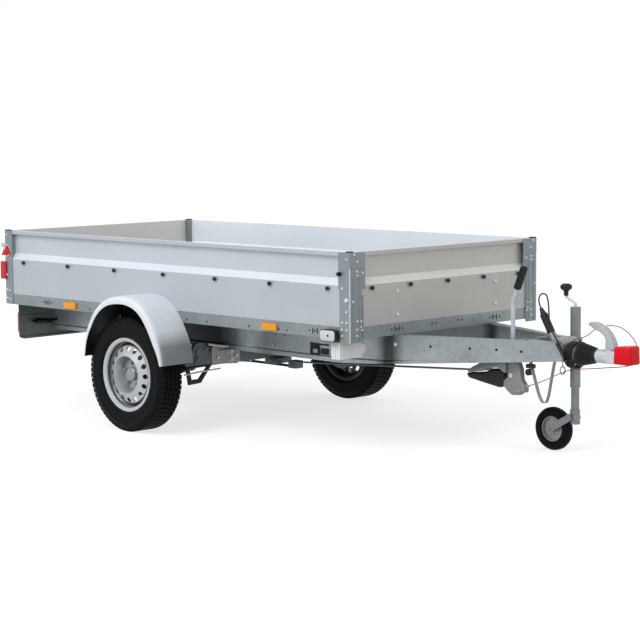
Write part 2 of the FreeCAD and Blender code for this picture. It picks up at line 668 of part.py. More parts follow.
def frame():
    rear_stop = "%s + post_plate" % REAR
    front_stop = behind("post_plate")
    side = prism(
        "side_rail_right", "YZ_Plane",
        channel("-%s" % OUTER, "1", "frame_underside", RAIL_TOP, "rail_flange", "rail_plate"),
        "%s + rear_post_side" % REAR, "%s - rail_flange" % front_stop)
    side = cut("side_rail_slotted", side,
               slots("side_slot_front", behind("slot_front"), "-%s" % OUTER, "rail_plate * 2")
               + slots("side_slot_rear", "%s + slot_rear" % REAR, "-%s" % OUTER, "rail_plate * 2"))
    x = behind("chock_setback + chock_length / 2")
    holder = block("chock_holder", ("%s - holder_width / 2" % x, "%s + holder_width / 2" % x),
                   ("rail_plate - %s" % OUTER, "rail_flange - %s" % OUTER),
                   ("frame_underside - chock_gap", "frame_underside"))
    node("side_rails", group("side_rails", [fused("side_rail_held", [side, holder]),
                                            mirrored("side_rail_left", side)]))
    front = prism(
        "front_rail", "XZ_Plane",
        channel(front_stop, "-1", "frame_underside", RAIL_TOP, "rail_flange", "rail_plate"),
        "-%s" % OUTER, OUTER)
    front = cut("front_rail_slotted", front, slots("front_slot_right", "-slot_side", front_stop, "rail_plate * 2")
                + slots("front_slot_left", "slot_side", front_stop, "rail_plate * 2"))
    rear_half = "(bed_width / 2 - rear_post_rear)"
    rear = prism(
        "rear_rail", "XZ_Plane",
        channel(rear_stop, "1", "frame_underside", RAIL_TOP, "rail_flange", "rail_plate"),
        "-%s" % rear_half, rear_half)
    node("end_rails", group("end_rails", [front, rear]))
    count = int(size("bearer_count"))
    inner = "(%s - rail_flange)" % OUTER
    bearers = []
    for index in range(count):
        start = "%s + (bed_length * %d / %d) - bearer_width / 2" % (REAR, index + 1, count + 1)
        bearers.append(prism(
            "bearer_%d" % (index + 1), "XZ_Plane",
            channel(start, "1", "frame_underside", RAIL_TOP, "bearer_width", "rail_plate"),
            "-%s" % inner, inner))
    node("floor_bearers", group("floor_bearers", bearers))
    half = "(%s - touch_gap)" % WALL_INNER
    notch = "(bed_width / 2 - rear_post_rear - touch_gap)"
    notch_x = "%s + rear_post_side + touch_gap" % REAR
    front_x = behind("post_plate + wall_thickness + touch_gap")
    node("floor_panel", prism("floor_panel", "XY_Plane", [
        (rear_stop, "-%s" % notch), (notch_x, "-%s" % notch), (notch_x, "-%s" % half), (front_x, "-%s" % half),
        (front_x, half), (notch_x, half), (notch_x, notch), (rear_stop, notch)], RAIL_TOP, FLOOR_TOP))


def wall_outline(outer, inward, foot):
    """A wall's section: lower panel, sloped band, inset upper panel and top rail."""
    inner = "(%s) + (%s) * wall_thickness" % (outer, inward)
    inset = "(%s) + (%s) * wall_recess" % (outer, inward)
    dark = "%s - top_rail_height" % WALL_TOP
    step_top = "%s - upper_panel_height" % dark
    step_foot = "%s - step_height" % step_top
    return [(inner, foot), (outer, foot), (outer, step_foot), (inset, step_top), (inset, dark), (outer, dark),
            (outer, WALL_TOP), (inner, WALL_TOP)]


def walls():
    right = prism("wall_right", "YZ_Plane", wall_outline("-%s" % OUTER, "1", RAIL_TOP),
                  "%s + rear_post_side" % REAR, behind("post_plate"))
    node("wall_right", right)
    node("wall_left", mirrored("wall_left", right))
    node("wall_front", prism("wall_front", "XZ_Plane", wall_outline(behind("post_plate"), "-1", RAIL_TOP),
                             "-%s" % WALL_INNER, WALL_INNER))


def posts():
    corner_x = FRONT
    corner_y = "-bed_width / 2"

    def angle(name, side, front, low, high):
        inner_x = "%s - post_plate" % corner_x
        inner_y = "%s + post_plate" % corner_y
        side_x = "%s - %s" % (corner_x, side)
        front_y = "%s + %s" % (corner_y, front)
        return prism(name, "XY_Plane", [
            (corner_x, corner_y), (corner_x, front_y), (inner_x, front_y), (inner_x, inner_y),
            (side_x, inner_y), (side_x, corner_y)], low, high)

    lower = angle("front_post_angle", "front_post_side", "front_post_front",
                  "frame_underside - front_post_drop", WALL_TOP)
    sleeve = angle("front_post_sleeve", "sleeve_side", "sleeve_front", "%s - sleeve_height" % WALL_TOP, WALL_TOP)
    node("front_posts", both("front_posts", fused("front_post", [lower, sleeve])))
    low_y = "-bed_width / 2"
    high_y = "-bed_width / 2 + rear_post_rear"
    high_x = "%s + rear_post_side" % REAR
    solid = block("rear_post_solid", (REAR, high_x), (low_y, high_y), ("frame_underside", WALL_TOP))
    room = block("rear_post_room", ("%s + post_plate" % REAR, "%s - post_plate" % high_x),
                 ("%s + post_plate" % low_y, "%s - post_plate" % high_y),
                 ("frame_underside - post_plate", "%s - post_plate" % WALL_TOP))
    node("rear_posts", both("rear_posts", cut("rear_post", solid, [room])))
    caps = []
    for name, x in (("front", behind("cap_side")), ("rear", REAR)):
        caps.append(lens("post_cap_" + name, (x, "%s + cap_side" % x), (low_y, "%s + cap_side" % low_y),
                         (WALL_TOP, "%s + cap_height" % WALL_TOP), VEC(0, 0, 1), "cap_corner"))
    node("post_caps", both("post_caps", group("post_caps_right", caps)))


HINGE_X = "(%s - hinge_setback)" % REAR
HINGE_Z = "(%s + hinge_radius)" % RAIL_TOP
GATE_HALF = "(bed_width / 2 - rear_post_rear - tailgate_gap)"
GATE_FOOT = "(%s + tailgate_gap)" % FLOOR_TOP
HINGE_PLACES = ("-hinge_spread", "0", "hinge_spread")


def tailgate():
    panel = prism("tailgate_panel", "XZ_Plane", wall_outline(REAR, "1", GATE_FOOT),
                  "-%s" % GATE_HALF, GATE_HALF)
    node("tailgate", panel)
    moving = []
    fixed = []
    for index, place_y in enumerate(HINGE_PLACES, start=1):
        start = "%s - hinge_length / 2" % place_y
        barrel = rod("gate_barrel_%d" % index, "Y", (HINGE_X, start, HINGE_Z), "hinge_radius", "hinge_length")
        leaf = block("gate_leaf_%d" % index, ("%s - hinge_leaf" % REAR, REAR),
                     (start, "%s + hinge_length" % start),
                     ("%s - hinge_radius / 4" % HINGE_Z, "%s + hinge_leaf_height" % GATE_FOOT))
        web = block("gate_web_%d" % index, (HINGE_X, "%s - hinge_leaf / 2" % REAR),
                    (start, "%s + hinge_length" % start),
                    ("%s - hinge_radius / 4" % HINGE_Z, "%s + hinge_leaf" % HINGE_Z))
        bore = rod("gate_bore_%d" % index, "Y", (HINGE_X, "%s - hinge_length" % start, HINGE_Z),
                   "hinge_pin_radius + running_fit", "3 * hinge_length")
        whole = fused("gate_knuckle_%d" % index, [barrel, leaf, web])
        moving.append(cut("gate_hinge_%d" % index, whole, [bore]))
        pin = rod("hinge_pin_%d" % index, "Y", (HINGE_X, "%s - hinge_length" % start, HINGE_Z),
                  "hinge_pin_radius", "3 * hinge_length")
        pieces = [pin]
        for side, edge in (("a", "%s - hinge_length" % start), ("b", "%s + hinge_length + touch_gap" % start)):
            ear_end = "%s + hinge_length - touch_gap" % edge
            ear = rod("fixed_barrel_%d%s" % (index, side), "Y", (HINGE_X, edge, HINGE_Z), "hinge_radius",
                      "hinge_length - touch_gap")
            foot = block("fixed_leaf_%d%s" % (index, side), ("%s - hinge_leaf / 2" % HINGE_X, "%s + post_plate" % REAR),
                         (edge, ear_end), ("%s - hinge_radius" % HINGE_Z, "%s - hinge_radius + hinge_leaf" % HINGE_Z))
            down = block("fixed_flap_%d%s" % (index, side), (REAR, "%s + post_plate" % REAR),
                         (edge, ear_end), ("%s - hinge_leaf_height" % RAIL_TOP, RAIL_TOP))
            pieces += [ear, foot, down]
        fixed.append(fused("rail_hinge_%d" % index, pieces))
    node("tailgate_hinges", group("tailgate_hinges", moving))
    node("rail_hinges", group("rail_hinges", fixed))


def knob(name, axis, sign, at):
    """A round tarp knob that stands out of a wall."""
    reach = "(%s) * knob_reach" % sign
    neck = "(%s) * (knob_reach - knob_head)" % sign
    return spun(name, axis, [("0", "0"), ("knob_stem", "0"), ("knob_stem", neck), ("knob_radius", neck),
                             ("knob_radius", reach), ("0", reach)], at)


def knobs():
    right = []
    for index in range(int(size("side_knob_count"))):
        x = behind("side_knob_first + %d * side_knob_pitch" % index)
        right.append(knob("side_knob_%d" % (index + 1), "Y", "-1", (x, "-%s" % OUTER, "knob_height")))
    side = group("side_knobs_right", right)
    count = int(size("end_knob_count"))
    front = []
    rear = []
    for index in range(count):
        y = "(%d - %d / 2) * end_knob_pitch" % (index, count - 1)
        front.append(knob("front_knob_%d" % (index + 1), "X", "1", (behind("post_plate"), y, "knob_height")))
        rear.append(knob("gate_knob_%d" % (index + 1), "X", "-1", (REAR, y, "knob_height")))
    node("tarp_knobs", group("tarp_knobs", [side, mirrored("side_knobs_left", side), group("front_knobs", front)]))
    node("tailgate_knobs", group("tailgate_knobs", rear))


# Chassis legs

def leg_plan(outer, inner, nose_x):
    """Plan view between two offsets inside the leg's outer face, bending in towards the coupling."""
    bend = size(behind("leg_bend"))
    nose = size(ahead(nose_x))
    rear = size("%s + rear_plate_inset + rear_plate_sheet" % REAR)
    wide = size("leg_spread")
    lead = size(ahead("leg_reach")) - bend
    slope = (wide - size("leg_nose_half")) / lead
    stretch = math.sqrt(1 + slope * slope)

    def at_nose(offset):
        return wide - slope * (nose - bend) - offset * stretch

    turn = math.tan(math.atan(slope) / 2)
    corners = [
        (rear, wide - outer), (bend - outer * turn, wide - outer), (nose, at_nose(outer)),
        (nose, at_nose(inner)), (bend - inner * turn, wide - inner), (rear, wide - inner)]
    return Part.Face(Part.makePolygon([VEC(x, -y, 0) for x, y in corners + corners[:1]]))


def chassis_leg():
    top = size("frame_underside")
    plate = size("leg_plate")
    rear = size(REAR)
    bend = size(behind("leg_bend"))
    reach = size(ahead("leg_reach"))
    nose = size(ahead("leg_reach + leg_nose_slant"))
    low = top - size("leg_depth")
    nose_low = top - size("leg_nose_depth")
    margin = size("leg_spread")
    width = size("leg_flange")
    lip = size("leg_lip")

    def side_band(raised, thick):
        """Side view of the lower edge: straight under the bed, rising to the nose."""
        points = [(rear, low + raised), (bend, low + raised), (nose, nose_low + raised),
                  (nose, nose_low + raised + thick), (bend, low + raised + thick), (rear, low + raised + thick)]
        face = Part.Face(Part.makePolygon([VEC(x, -margin - margin, z) for x, z in points + points[:1]]))
        return face.extrude(VEC(0, margin + margin, 0))

    whole = [(rear, top), (reach, top), (nose, nose_low), (bend, low), (rear, low)]
    profile = Part.Face(Part.makePolygon([VEC(x, -margin - margin, z) for x, z in whole + whole[:1]]))
    profile = profile.extrude(VEC(0, margin + margin, 0))

    def standing(outer, inner):
        face = leg_plan(outer, inner, "leg_reach + leg_nose_slant")
        face.translate(VEC(0, 0, low - plate))
        return face.extrude(VEC(0, 0, top - low + plate + plate))

    web = standing(0, plate).common(profile)
    upper_face = leg_plan(plate / 2, width, "leg_reach + leg_nose_slant")
    upper_face.translate(VEC(0, 0, top - plate))
    upper = upper_face.extrude(VEC(0, 0, plate)).common(profile)
    lower = standing(plate / 2, width).common(side_band(0, plate))
    foot = standing(-lip, plate / 2).common(side_band(0, plate))
    return web.fuse([upper, lower, foot]).removeSplitter()


def legs():
    room = block("housing_room", (behind("0"), ahead("leg_reach + leg_nose_slant * 2")),
                 ("-dome_half - touch_gap", "dome_half + touch_gap"), ("0", RAIL_TOP))
    tools = [room]
    for index in range(int(size("leg_hole_count"))):
        x = ahead("leg_hole_pitch * %d" % (index + 1))
        tools.append(rod("leg_hole_%d" % (index + 1), "Y", (x, "-leg_spread - leg_lip", "frame_underside - leg_nose_depth / 2"),
                         "leg_hole_radius", "leg_spread + leg_lip"))
    node("chassis_legs", both("chassis_legs", cut("chassis_leg", made("chassis_leg_full", chassis_leg()), tools)))


def rear_plate():
    x = "(%s + rear_plate_inset)" % REAR
    foot = "(frame_underside - rear_plate_depth)"
    half = "rear_plate_half"
    plate = prism("rear_plate_board", "YZ_Plane", [
        ("-%s" % half, "frame_underside"), ("-%s" % half, "%s + rear_plate_corner / 2" % foot),
        ("-%s + rear_plate_corner" % half, foot), ("%s - rear_plate_corner" % half, foot),
        (half, "%s + rear_plate_corner / 2" % foot), (half, "frame_underside")],
        x, "%s + rear_plate_sheet" % x)
    flange = block("rear_plate_flange", ("%s - rear_plate_flange" % x, x), ("-%s" % half, half),
                   ("frame_underside - rear_plate_sheet", "frame_underside"))
    node("rear_plate", fused("rear_plate", [plate, flange]))


# Running gear

def axle():
    half = "axle_section / 2"
    low = "axle_height - %s" % half
    high = "axle_height + %s" % half
    x = (("%s - %s" % (BEAM_X, half)), ("%s + %s" % (BEAM_X, half)))
    tube = block("axle_solid", x, ("-axle_half", "axle_half"), (low, high))
    room = block("axle_room", ("%s + axle_wall" % x[0], "%s - axle_wall" % x[1]),
                 ("-axle_half - axle_wall", "axle_half + axle_wall"),
                 ("%s + axle_wall" % low, "%s - axle_wall" % high))
    top = "frame_underside - leg_depth"
    seats = []
    for name, low_y in (("right", "-leg_spread - leg_lip"), ("left", "leg_spread + leg_lip - seat_width")):
        seats.append(block("axle_seat_" + name, ("%s - seat_length / 2" % BEAM_X, "%s + seat_length / 2" % BEAM_X),
                           (low_y, "%s + seat_width" % low_y), (high, top)))
    plate = block("cable_plate", ("%s - cable_plate_length / 2" % BEAM_X, "%s + cable_plate_length / 2" % BEAM_X),
                  ("-cable_plate_half", "cable_plate_half"), ("%s - cable_plate_sheet" % low, low))
    node("axle_tube", fused("axle_tube", [cut("axle_hollow", tube, [room]), plate] + seats))


def swing_arms():
    inner = -(size("axle_half") + size("arm_thickness"))
    outer = -size("axle_half")
    start = VEC(size(BEAM_X), 0, size("axle_height"))
    end = VEC(size(AXLE_X), 0, size(AXLE_Z))
    radius = size("arm_end_radius")
    along = (end - start).normalize()
    across = VEC(-along.z, 0, along.x)
    corners = [start + across * radius - along * radius, end + across * radius + along * radius,
               end - across * radius + along * radius, start - across * radius - along * radius]
    face = rounded_face(corners, [radius * 0.98] * len(corners))
    face.translate(VEC(0, inner, 0))
    arm = made("swing_arm_plate", face.extrude(VEC(0, outer - inner, 0)))
    boss_start = "axle_half + arm_thickness"
    boss = rod("swing_arm_boss", "Y", (AXLE_X, "-(%s)" % SPINDLE_SHOULDER, AXLE_Z), "boss_radius",
               "%s - (%s)" % (SPINDLE_SHOULDER, boss_start))
    spindle = rod("swing_arm_spindle", "Y", (AXLE_X, "-(%s)" % SPINDLE_END, AXLE_Z), "spindle_radius",
                  "%s - (%s)" % (SPINDLE_END, boss_start))
    plate = spun("backplate_right", "Y", [
        ("spindle_radius + touch_gap", "0"), ("backplate_radius", "0"),
        ("backplate_radius", "-backplate_sheet"), ("spindle_radius + touch_gap", "-backplate_sheet")],
        (AXLE_X, "-(%s)" % SPINDLE_SHOULDER, AXLE_Z))
    right = group("swing_arm_right", [fused("swing_arm", [arm, boss, spindle]), plate])
    node("swing_arms", both("swing_arms", right))


MOUNT_FACE = "(track_half + rim_offset)"
DRUM_OPEN = "(%s - drum_width)" % MOUNT_FACE
SPINDLE_SHOULDER = "(%s - backplate_sheet - touch_gap * 5)" % DRUM_OPEN
SPINDLE_END = "(%s - drum_wall)" % MOUNT_FACE


def wheel_at(along):
    """A place along the right wheel's axis, measured outboard from the centre."""
    return (AXLE_X, "-(%s)" % along, AXLE_Z)


def drums():
    bore = "spindle_radius + running_fit"
    shell = spun("drum_shell", "Y", [
        (bore, "0"), ("hub_radius", "0"), ("hub_radius", "-(drum_width - 2 * drum_wall)"),
        ("drum_radius - drum_wall", "-(drum_width - 2 * drum_wall)"), ("drum_radius - drum_wall", "0"),
        ("drum_radius", "0"), ("drum_radius", "-drum_width"), ("hub_radius", "-drum_width"),
        ("hub_radius", "-(drum_width + hub_reach - drum_wall / 2)"),
        ("hub_radius - drum_wall / 2", "-(drum_width + hub_reach)"), ("0", "-(drum_width + hub_reach)"),
        ("0", "-drum_width"), (bore, "-drum_width")], wheel_at(DRUM_OPEN))
    studs = []
    for index in range(int(size("stud_count"))):
        studs.append(stud_rod("stud_%d" % (index + 1), index, "stud_radius", "-stud_length", "drum_wall / 2"))
    right = fused("drum_right", [shell] + studs)
    node("drum_right", right)
    node("drum_left", mirrored("drum_left", right))


def stud_rod(name, index, radius, low, high):
    """One of the cylinders on the stud circle, from low to high about the mounting face."""
    angle = "360 * %d / stud_count + 90" % index
    x = "%s + stud_circle * cos(%s)" % (AXLE_X, angle)
    z = "%s + stud_circle * sin(%s)" % (AXLE_Z, angle)
    return rod(name, "Y", (x, "-%s + (%s)" % (MOUNT_FACE, low), z), radius, "(%s) - (%s)" % (high, low))


def rims():
    edge = "rim_half_width + rim_flange_lip"
    well = "rim_well_radius"
    barrel = spun("rim_barrel", "Y", [
        ("rim_flange_radius", edge), ("rim_flange_radius", "rim_half_width + rim_sheet"),
        ("bead_radius + rim_sheet", "rim_half_width"), ("bead_radius", "rim_half_width - rim_sheet"),
        ("bead_radius", "rim_half_width / 2"), (well, "rim_half_width / 4"), (well, "-rim_half_width / 4"),
        ("bead_radius", "-rim_half_width / 2"), ("bead_radius", "-(rim_half_width - rim_sheet)"),
        ("bead_radius + rim_sheet", "-rim_half_width"), ("rim_flange_radius", "-(rim_half_width + rim_sheet)"),
        ("rim_flange_radius", "-(%s)" % edge), ("rim_flange_radius - rim_sheet", "-(%s)" % edge),
        ("bead_radius", "-(rim_half_width + rim_sheet)"),
        ("bead_radius - rim_sheet", "-(rim_half_width - rim_sheet)"),
        ("bead_radius - rim_sheet", "-(rim_half_width / 2 + rim_sheet)"),
        ("%s - rim_sheet" % well, "-(rim_half_width / 4 + rim_sheet)"),
        ("%s - rim_sheet" % well, "rim_half_width / 4 + rim_sheet"),
        ("bead_radius - rim_sheet", "rim_half_width / 2 + rim_sheet"),
        ("bead_radius - rim_sheet", "rim_half_width - rim_sheet"),
        ("bead_radius", "rim_half_width + rim_sheet"), ("rim_flange_radius - rim_sheet", edge)],
        wheel_at("track_half"))
    centre = "hub_radius + touch_gap"
    skirt = "%s - rim_sheet / 2" % well
    disc = spun("rim_disc", "Y", [
        (centre, "-rim_offset"), ("rim_dish_radius + rim_sheet / 2", "-rim_offset"),
        ("rim_ridge_radius + rim_sheet / 2", "-(rim_ridge_rise - rim_sheet * 4 / 3)"),
        ("%s - rim_sheet" % skirt, "-(rim_shoulder_rise - rim_sheet / 2)"),
        ("%s - rim_sheet" % skirt, "-rim_weld_rise"), (skirt, "-rim_weld_rise"), (skirt, "-rim_shoulder_rise"),
        ("rim_ridge_radius", "-rim_ridge_rise"), ("rim_dish_radius", "-(rim_offset + rim_sheet)"),
        (centre, "-(rim_offset + rim_sheet)")], wheel_at("track_half"))
    holes = []
    for index in range(int(size("rim_hole_count"))):
        angle = "360 * %d / rim_hole_count" % index
        x = "%s + rim_hole_circle * cos(%s)" % (AXLE_X, angle)
        z = "%s + rim_hole_circle * sin(%s)" % (AXLE_Z, angle)
        holes.append(rod("vent_%d" % (index + 1), "Y", (x, "-(track_half + rim_ridge_rise)", z),
                         "rim_hole_radius", "rim_ridge_rise"))
    for index in range(int(size("stud_count"))):
        holes.append(stud_rod("stud_hole_%d" % (index + 1), index, "stud_radius + stud_clearance",
                              "-stud_length", "stud_length"))
    right = cut("rim_right", fused("rim_whole", [barrel, disc]), holes)
    node("rim_right", right)
    node("rim_left", mirrored("rim_left", right))


def tyre_shape(radius, width, bead, lip, wall, tread_share, bulge_share):
    """A tyre's hollow section as lines and arcs, turned about Y at the origin."""
    tread = width * tread_share / 2
    bulge = bead[0] + (radius - bead[0]) * bulge_share
    half = width / 2

    def point(r, y):
        return VEC(r, y, 0)

    shoulder = point(radius - wall, tread + wall)
    bead_r, bead_half = bead
    outside = [point(*lip), point(bulge, half), shoulder]
    crown = [shoulder, point(radius - wall / 4, tread + wall / 2), point(radius, tread)]
    inside = [point(radius - wall, tread - wall), point(bulge, half - wall), point(bead_r, bead_half - wall)]

    def flip(points):
        return [point(item.x, -item.y) for item in reversed(points)]

    edges = [Part.Arc(*outside).toShape(), Part.Arc(*crown).toShape(),
             Part.LineSegment(point(radius, tread), point(radius, -tread)).toShape(),
             Part.Arc(*flip(crown)).toShape(), Part.Arc(*flip(outside)).toShape(),
             Part.LineSegment(point(lip[0], -lip[1]), point(bead_r, -bead_half)).toShape(),
             Part.LineSegment(point(bead_r, -bead_half), point(bead_r, wall - bead_half)).toShape(),
             Part.Arc(*flip(inside)).toShape(),
             Part.LineSegment(point(radius - wall, wall - tread), point(radius - wall, tread - wall)).toShape(),
             Part.Arc(*inside).toShape(),
             Part.LineSegment(point(bead_r, bead_half - wall), point(bead_r, bead_half)).toShape(),
             Part.LineSegment(point(bead_r, bead_half), point(*lip)).toShape()]
    face = Part.Face(Part.Wire(Part.__sortEdges__(edges)))
    return face.revolve(VEC(), VEC(0, 1, 0), 360)


TREAD_SHARE = 0.66
BULGE_SHARE = 0.52


def tyres():
    bead = (size("bead_radius + touch_gap"), size("rim_half_width - rim_sheet - touch_gap"))
    lip = (size("rim_flange_radius + touch_gap * 3"), size("rim_half_width + rim_sheet - touch_gap * 2"))
    shape = tyre_shape(size("tyre_diameter / 2"), size("tyre_width"), bead, lip, size("tyre_wall"),
                       TREAD_SHARE, BULGE_SHARE)
    right = made("tyre_right", shape)
    place(right, wheel_at("track_half"))
    node("tyre_right", right)
    node("tyre_left", mirrored("tyre_left", right))


def mudguards():
    foot = size("guard_foot")
    half = size("guard_half")
    inner = -size("guard_inner")
    outer = -size("guard_outer")
    sheet = size("guard_sheet")
    spare = size("guard_lip")
    bend = size("guard_bend")
    shoulder = size("guard_top - guard_shoulder_drop")
    crown = size("guard_top")
    outline = [VEC(-half, 0, foot - spare), VEC(-half, 0, foot), VEC(-size("guard_shoulder_half"), 0, shoulder),
               VEC(-size("guard_crown_half"), 0, crown), VEC(size("guard_crown_half"), 0, crown),
               VEC(size("guard_shoulder_half"), 0, shoulder), VEC(half, 0, foot), VEC(half, 0, foot - spare)]
    face = rounded_face(outline, [0, bend, bend, bend, bend, bend, bend, 0])

    def rounded_solid(side, from_y, to_y, edge):
        side.translate(VEC(0, from_y, 0))
        solid = side.extrude(VEC(0, to_y - from_y, 0))
        rims = edges_where(solid, lambda item: all(abs(v.Y - to_y) < 1e-6 for v in item.Vertexes)
                           and item.BoundBox.ZMax > foot)
        return solid.makeFillet(edge, rims)

    skin = rounded_solid(face.copy(), inner, outer, size("guard_edge"))
    room = rounded_solid(face.makeOffset2D(-sheet), inner - sheet, outer + sheet, size("guard_edge") - sheet)
    opening = face.makeOffset2D(-size("guard_lip"))
    opening.translate(VEC(0, outer - sheet, 0))
    opening = opening.extrude(VEC(0, 2 * sheet + size("guard_edge"), 0))
    wide = half + spare
    below = Part.makeBox(2 * wide, 2 * (inner - outer), 2 * spare, VEC(-wide, 2 * outer - inner, foot - 2 * spare))
    apron_foot = crown - size("guard_apron")
    inside = face.makeOffset2D(-sheet)
    inside.translate(VEC(0, inner - 2 * sheet, 0))
    inside = inside.extrude(VEC(0, 4 * sheet, 0))
    inside = inside.cut(Part.makeBox(2 * wide, 8 * sheet, spare + size("guard_apron"),
                                     VEC(-wide, inner - 4 * sheet, apron_foot)))
    front_view = rounded_face([VEC(-wide, inner, foot), VEC(-wide, outer, foot), VEC(-wide, outer, crown),
                               VEC(-wide, inner, crown)], [0, size("guard_corner"), 0, 0])
    guard = skin.cut([room, opening, below, inside]).common(front_view.extrude(VEC(2 * wide, 0, 0))).removeSplitter()
    shell = made("mudguard_shell", guard)
    place(shell, (AXLE_X, "0", "0"))
    stays = [shell]
    for name, sign in (("front", "1"), ("rear", "-1")):
        x = "%s + (%s) * stay_spread" % (AXLE_X, sign)
        z = "guard_top - guard_apron"
        stays.append(block("mudguard_stay_" + name, ("%s - stay_width / 2" % x, "%s + stay_width / 2" % x),
                           ("-guard_inner", "-%s" % OUTER), (z, "%s + stay_height" % z)))
    right = fused("mudguard_right", stays)
    node("mudguard_right", right)
    node("mudguard_left", mirrored("mudguard_left", right))


# Routes, as shares of the route unit ahead of the legs' end, to the left and above the draw tube axis

MAIN_CABLE_SHARES = [
    (-1.46, -0.3, 2.236), (-1.287, -0.31, 2.589), (-0.948, -0.33, 2.589), (-0.793, -0.37, 2.234),
    (-0.715, -0.44, 1.791), (-0.56, -0.6, 1.368), (-0.289, -0.76, 1.004), (0.041, -0.83, 0.669),
    (0.254, -0.84, 0.334), (0.428, -0.76, 0.039), (0.47, -0.664, -0.12)]
BREAKAWAY_CABLE_SHARES = [
    (-1.463, -1.0, -1.536), (-1.054, -0.84, -1.398), (-0.628, -0.8, -1.211), (-0.202, -0.78, -1.024),
    (0.186, -0.72, -0.827), (0.574, -0.6, -0.68), (1.01, -0.45, -0.601), (1.494, -0.36, -0.562),
    (2.027, -0.24, -0.493), (2.56, -0.08, -0.434), (2.996, 0.22, -0.394), (3.335, 0.52, -0.276),
    (3.451, 0.56, 0.108), (3.451, 0.5, 0.502), (3.316, 0.38, 0.846), (3.044, 0.3, 1.142), (2.657, 0.3, 1.319),
    (2.221, 0.3, 1.348), (1.833, 0.3, 1.299), (1.465, 0.3, 1.22), (1.165, 0.3, 1.023), (0.893, 0.3, 0.807),
    (0.574, 0.28, 0.68), (0.128, 0.24, 0.55)]


def route(shares):
    unit = size("route_unit")
    return [VEC(size(LEG_END) + unit * x, unit * y, size(AXIS_Z) + unit * z) for x, y, z in shares]


def plug_ends():
    """The plug's foot and the end where the cable leaves it."""
    low = VEC(size(LEG_END + " + plug_ahead"), -size("plug_side"), size(AXIS_Z + " + plug_rise"))
    lean = math.radians(size("plug_lean"))
    return low, low + VEC(-math.sin(lean), 0, math.cos(lean)) * size("plug_length")


# Coupling

def leg_face(x, inside):
    """How far from the centre plane the leg's upright face stands, ahead of the leg's end by x."""
    return "(leg_nose_half - (%s) * leg_slope - (%s) * sqrt(1 + leg_slope ^ 2))" % (x, inside)


def housing():
    bore = "draw_tube_radius + running_fit"
    barrel = spun("housing_barrel", "X", [
        (bore, "housing_start"), ("housing_radius", "housing_start"), ("housing_radius", "housing_end"),
        (bore, "housing_end")], (LEG_END, "0", AXIS_Z))
    ear_z = ("%s - housing_ear_drop" % AXIS_Z, "%s + housing_ear_rise" % AXIS_Z)
    pieces = [barrel]
    for name, at in (("rear", "housing_ear_rear"), ("front", "housing_ear_front")):
        near = leg_face(at, "leg_plate + touch_gap")
        far = leg_face("%s + housing_ear" % at, "leg_plate + touch_gap")
        x = (drawn(at), drawn("%s + housing_ear" % at))
        core = "(draw_tube_radius + housing_radius) / 2"
        for side, sign in (("right", "-1"), ("left", "1")):
            pieces.append(prism("housing_ear_%s_%s" % (name, side), "XY_Plane", [
                (x[0], "%s * %s" % (sign, core)), (x[0], "%s * %s" % (sign, near)),
                (x[1], "%s * %s" % (sign, far)), (x[1], "%s * %s" % (sign, core))], *ear_z))
    outer = slab([(drawn("dome_start"), "%s - hood_drop" % AXIS_Z), (drawn("dome_start"), "%s + dome_rise" % AXIS_Z),
                  (drawn("dome_end"), "%s + dome_rise" % AXIS_Z), (drawn("dome_end"), "%s - hood_drop" % AXIS_Z)],
                 [0, size("dome_rise / 4"), size("dome_rise / 2"), 0], -size("dome_half"), size("dome_half"))
    outer = outer.common(front_slab(size("dome_half"), size("%s - hood_drop" % AXIS_Z),
                                    size("%s + dome_rise" % AXIS_Z), size("dome_rise / 5"),
                                    size(drawn("dome_start")), size(drawn("dome_end"))))
    inner = slab([(drawn("dome_start + hood_sheet"), "%s - hood_drop * 2" % AXIS_Z),
                  (drawn("dome_start + hood_sheet"), "%s + dome_rise - hood_sheet" % AXIS_Z),
                  (drawn("dome_end - hood_sheet"), "%s + dome_rise - hood_sheet" % AXIS_Z),
                  (drawn("dome_end - hood_sheet"), "%s - hood_drop * 2" % AXIS_Z)],
                 [0, size("dome_rise / 4 - hood_sheet"), size("dome_rise / 2 - hood_sheet"), 0],
                 -size("dome_half - hood_sheet"), size("dome_half - hood_sheet"))
    tunnel = Part.makeCylinder(size("draw_tube_radius + running_fit"), size(OVERALL),
                               VEC(size(behind("0")), 0, size(AXIS_Z)), VEC(1, 0, 0))
    hood = made("housing_hood", outer.cut([inner, tunnel]))
    lug_x = drawn("casting_start + casting_length / 2")
    lug = block("housing_brake_lug", (lug_x, "%s + brake_lug" % lug_x),
                ("-(brake_side - casting_half)", "-housing_radius / 2"),
                ("%s - housing_radius - brake_lug_height / 2" % AXIS_Z,
                 "%s - housing_radius + brake_lug_height / 2" % AXIS_Z))
    low, high = plug_ends()
    under = low + (low - high).normalize() * size("plug_rise")
    holder = Part.makeCylinder(size("plug_radius"), size("plug_rise"), under, low - under)
    solid = fused("overrun_housing_solid", pieces + [hood, lug, made("plug_holder", holder)])
    node("overrun_housing", cut("overrun_housing", solid, [made("housing_tunnel", tunnel)]))


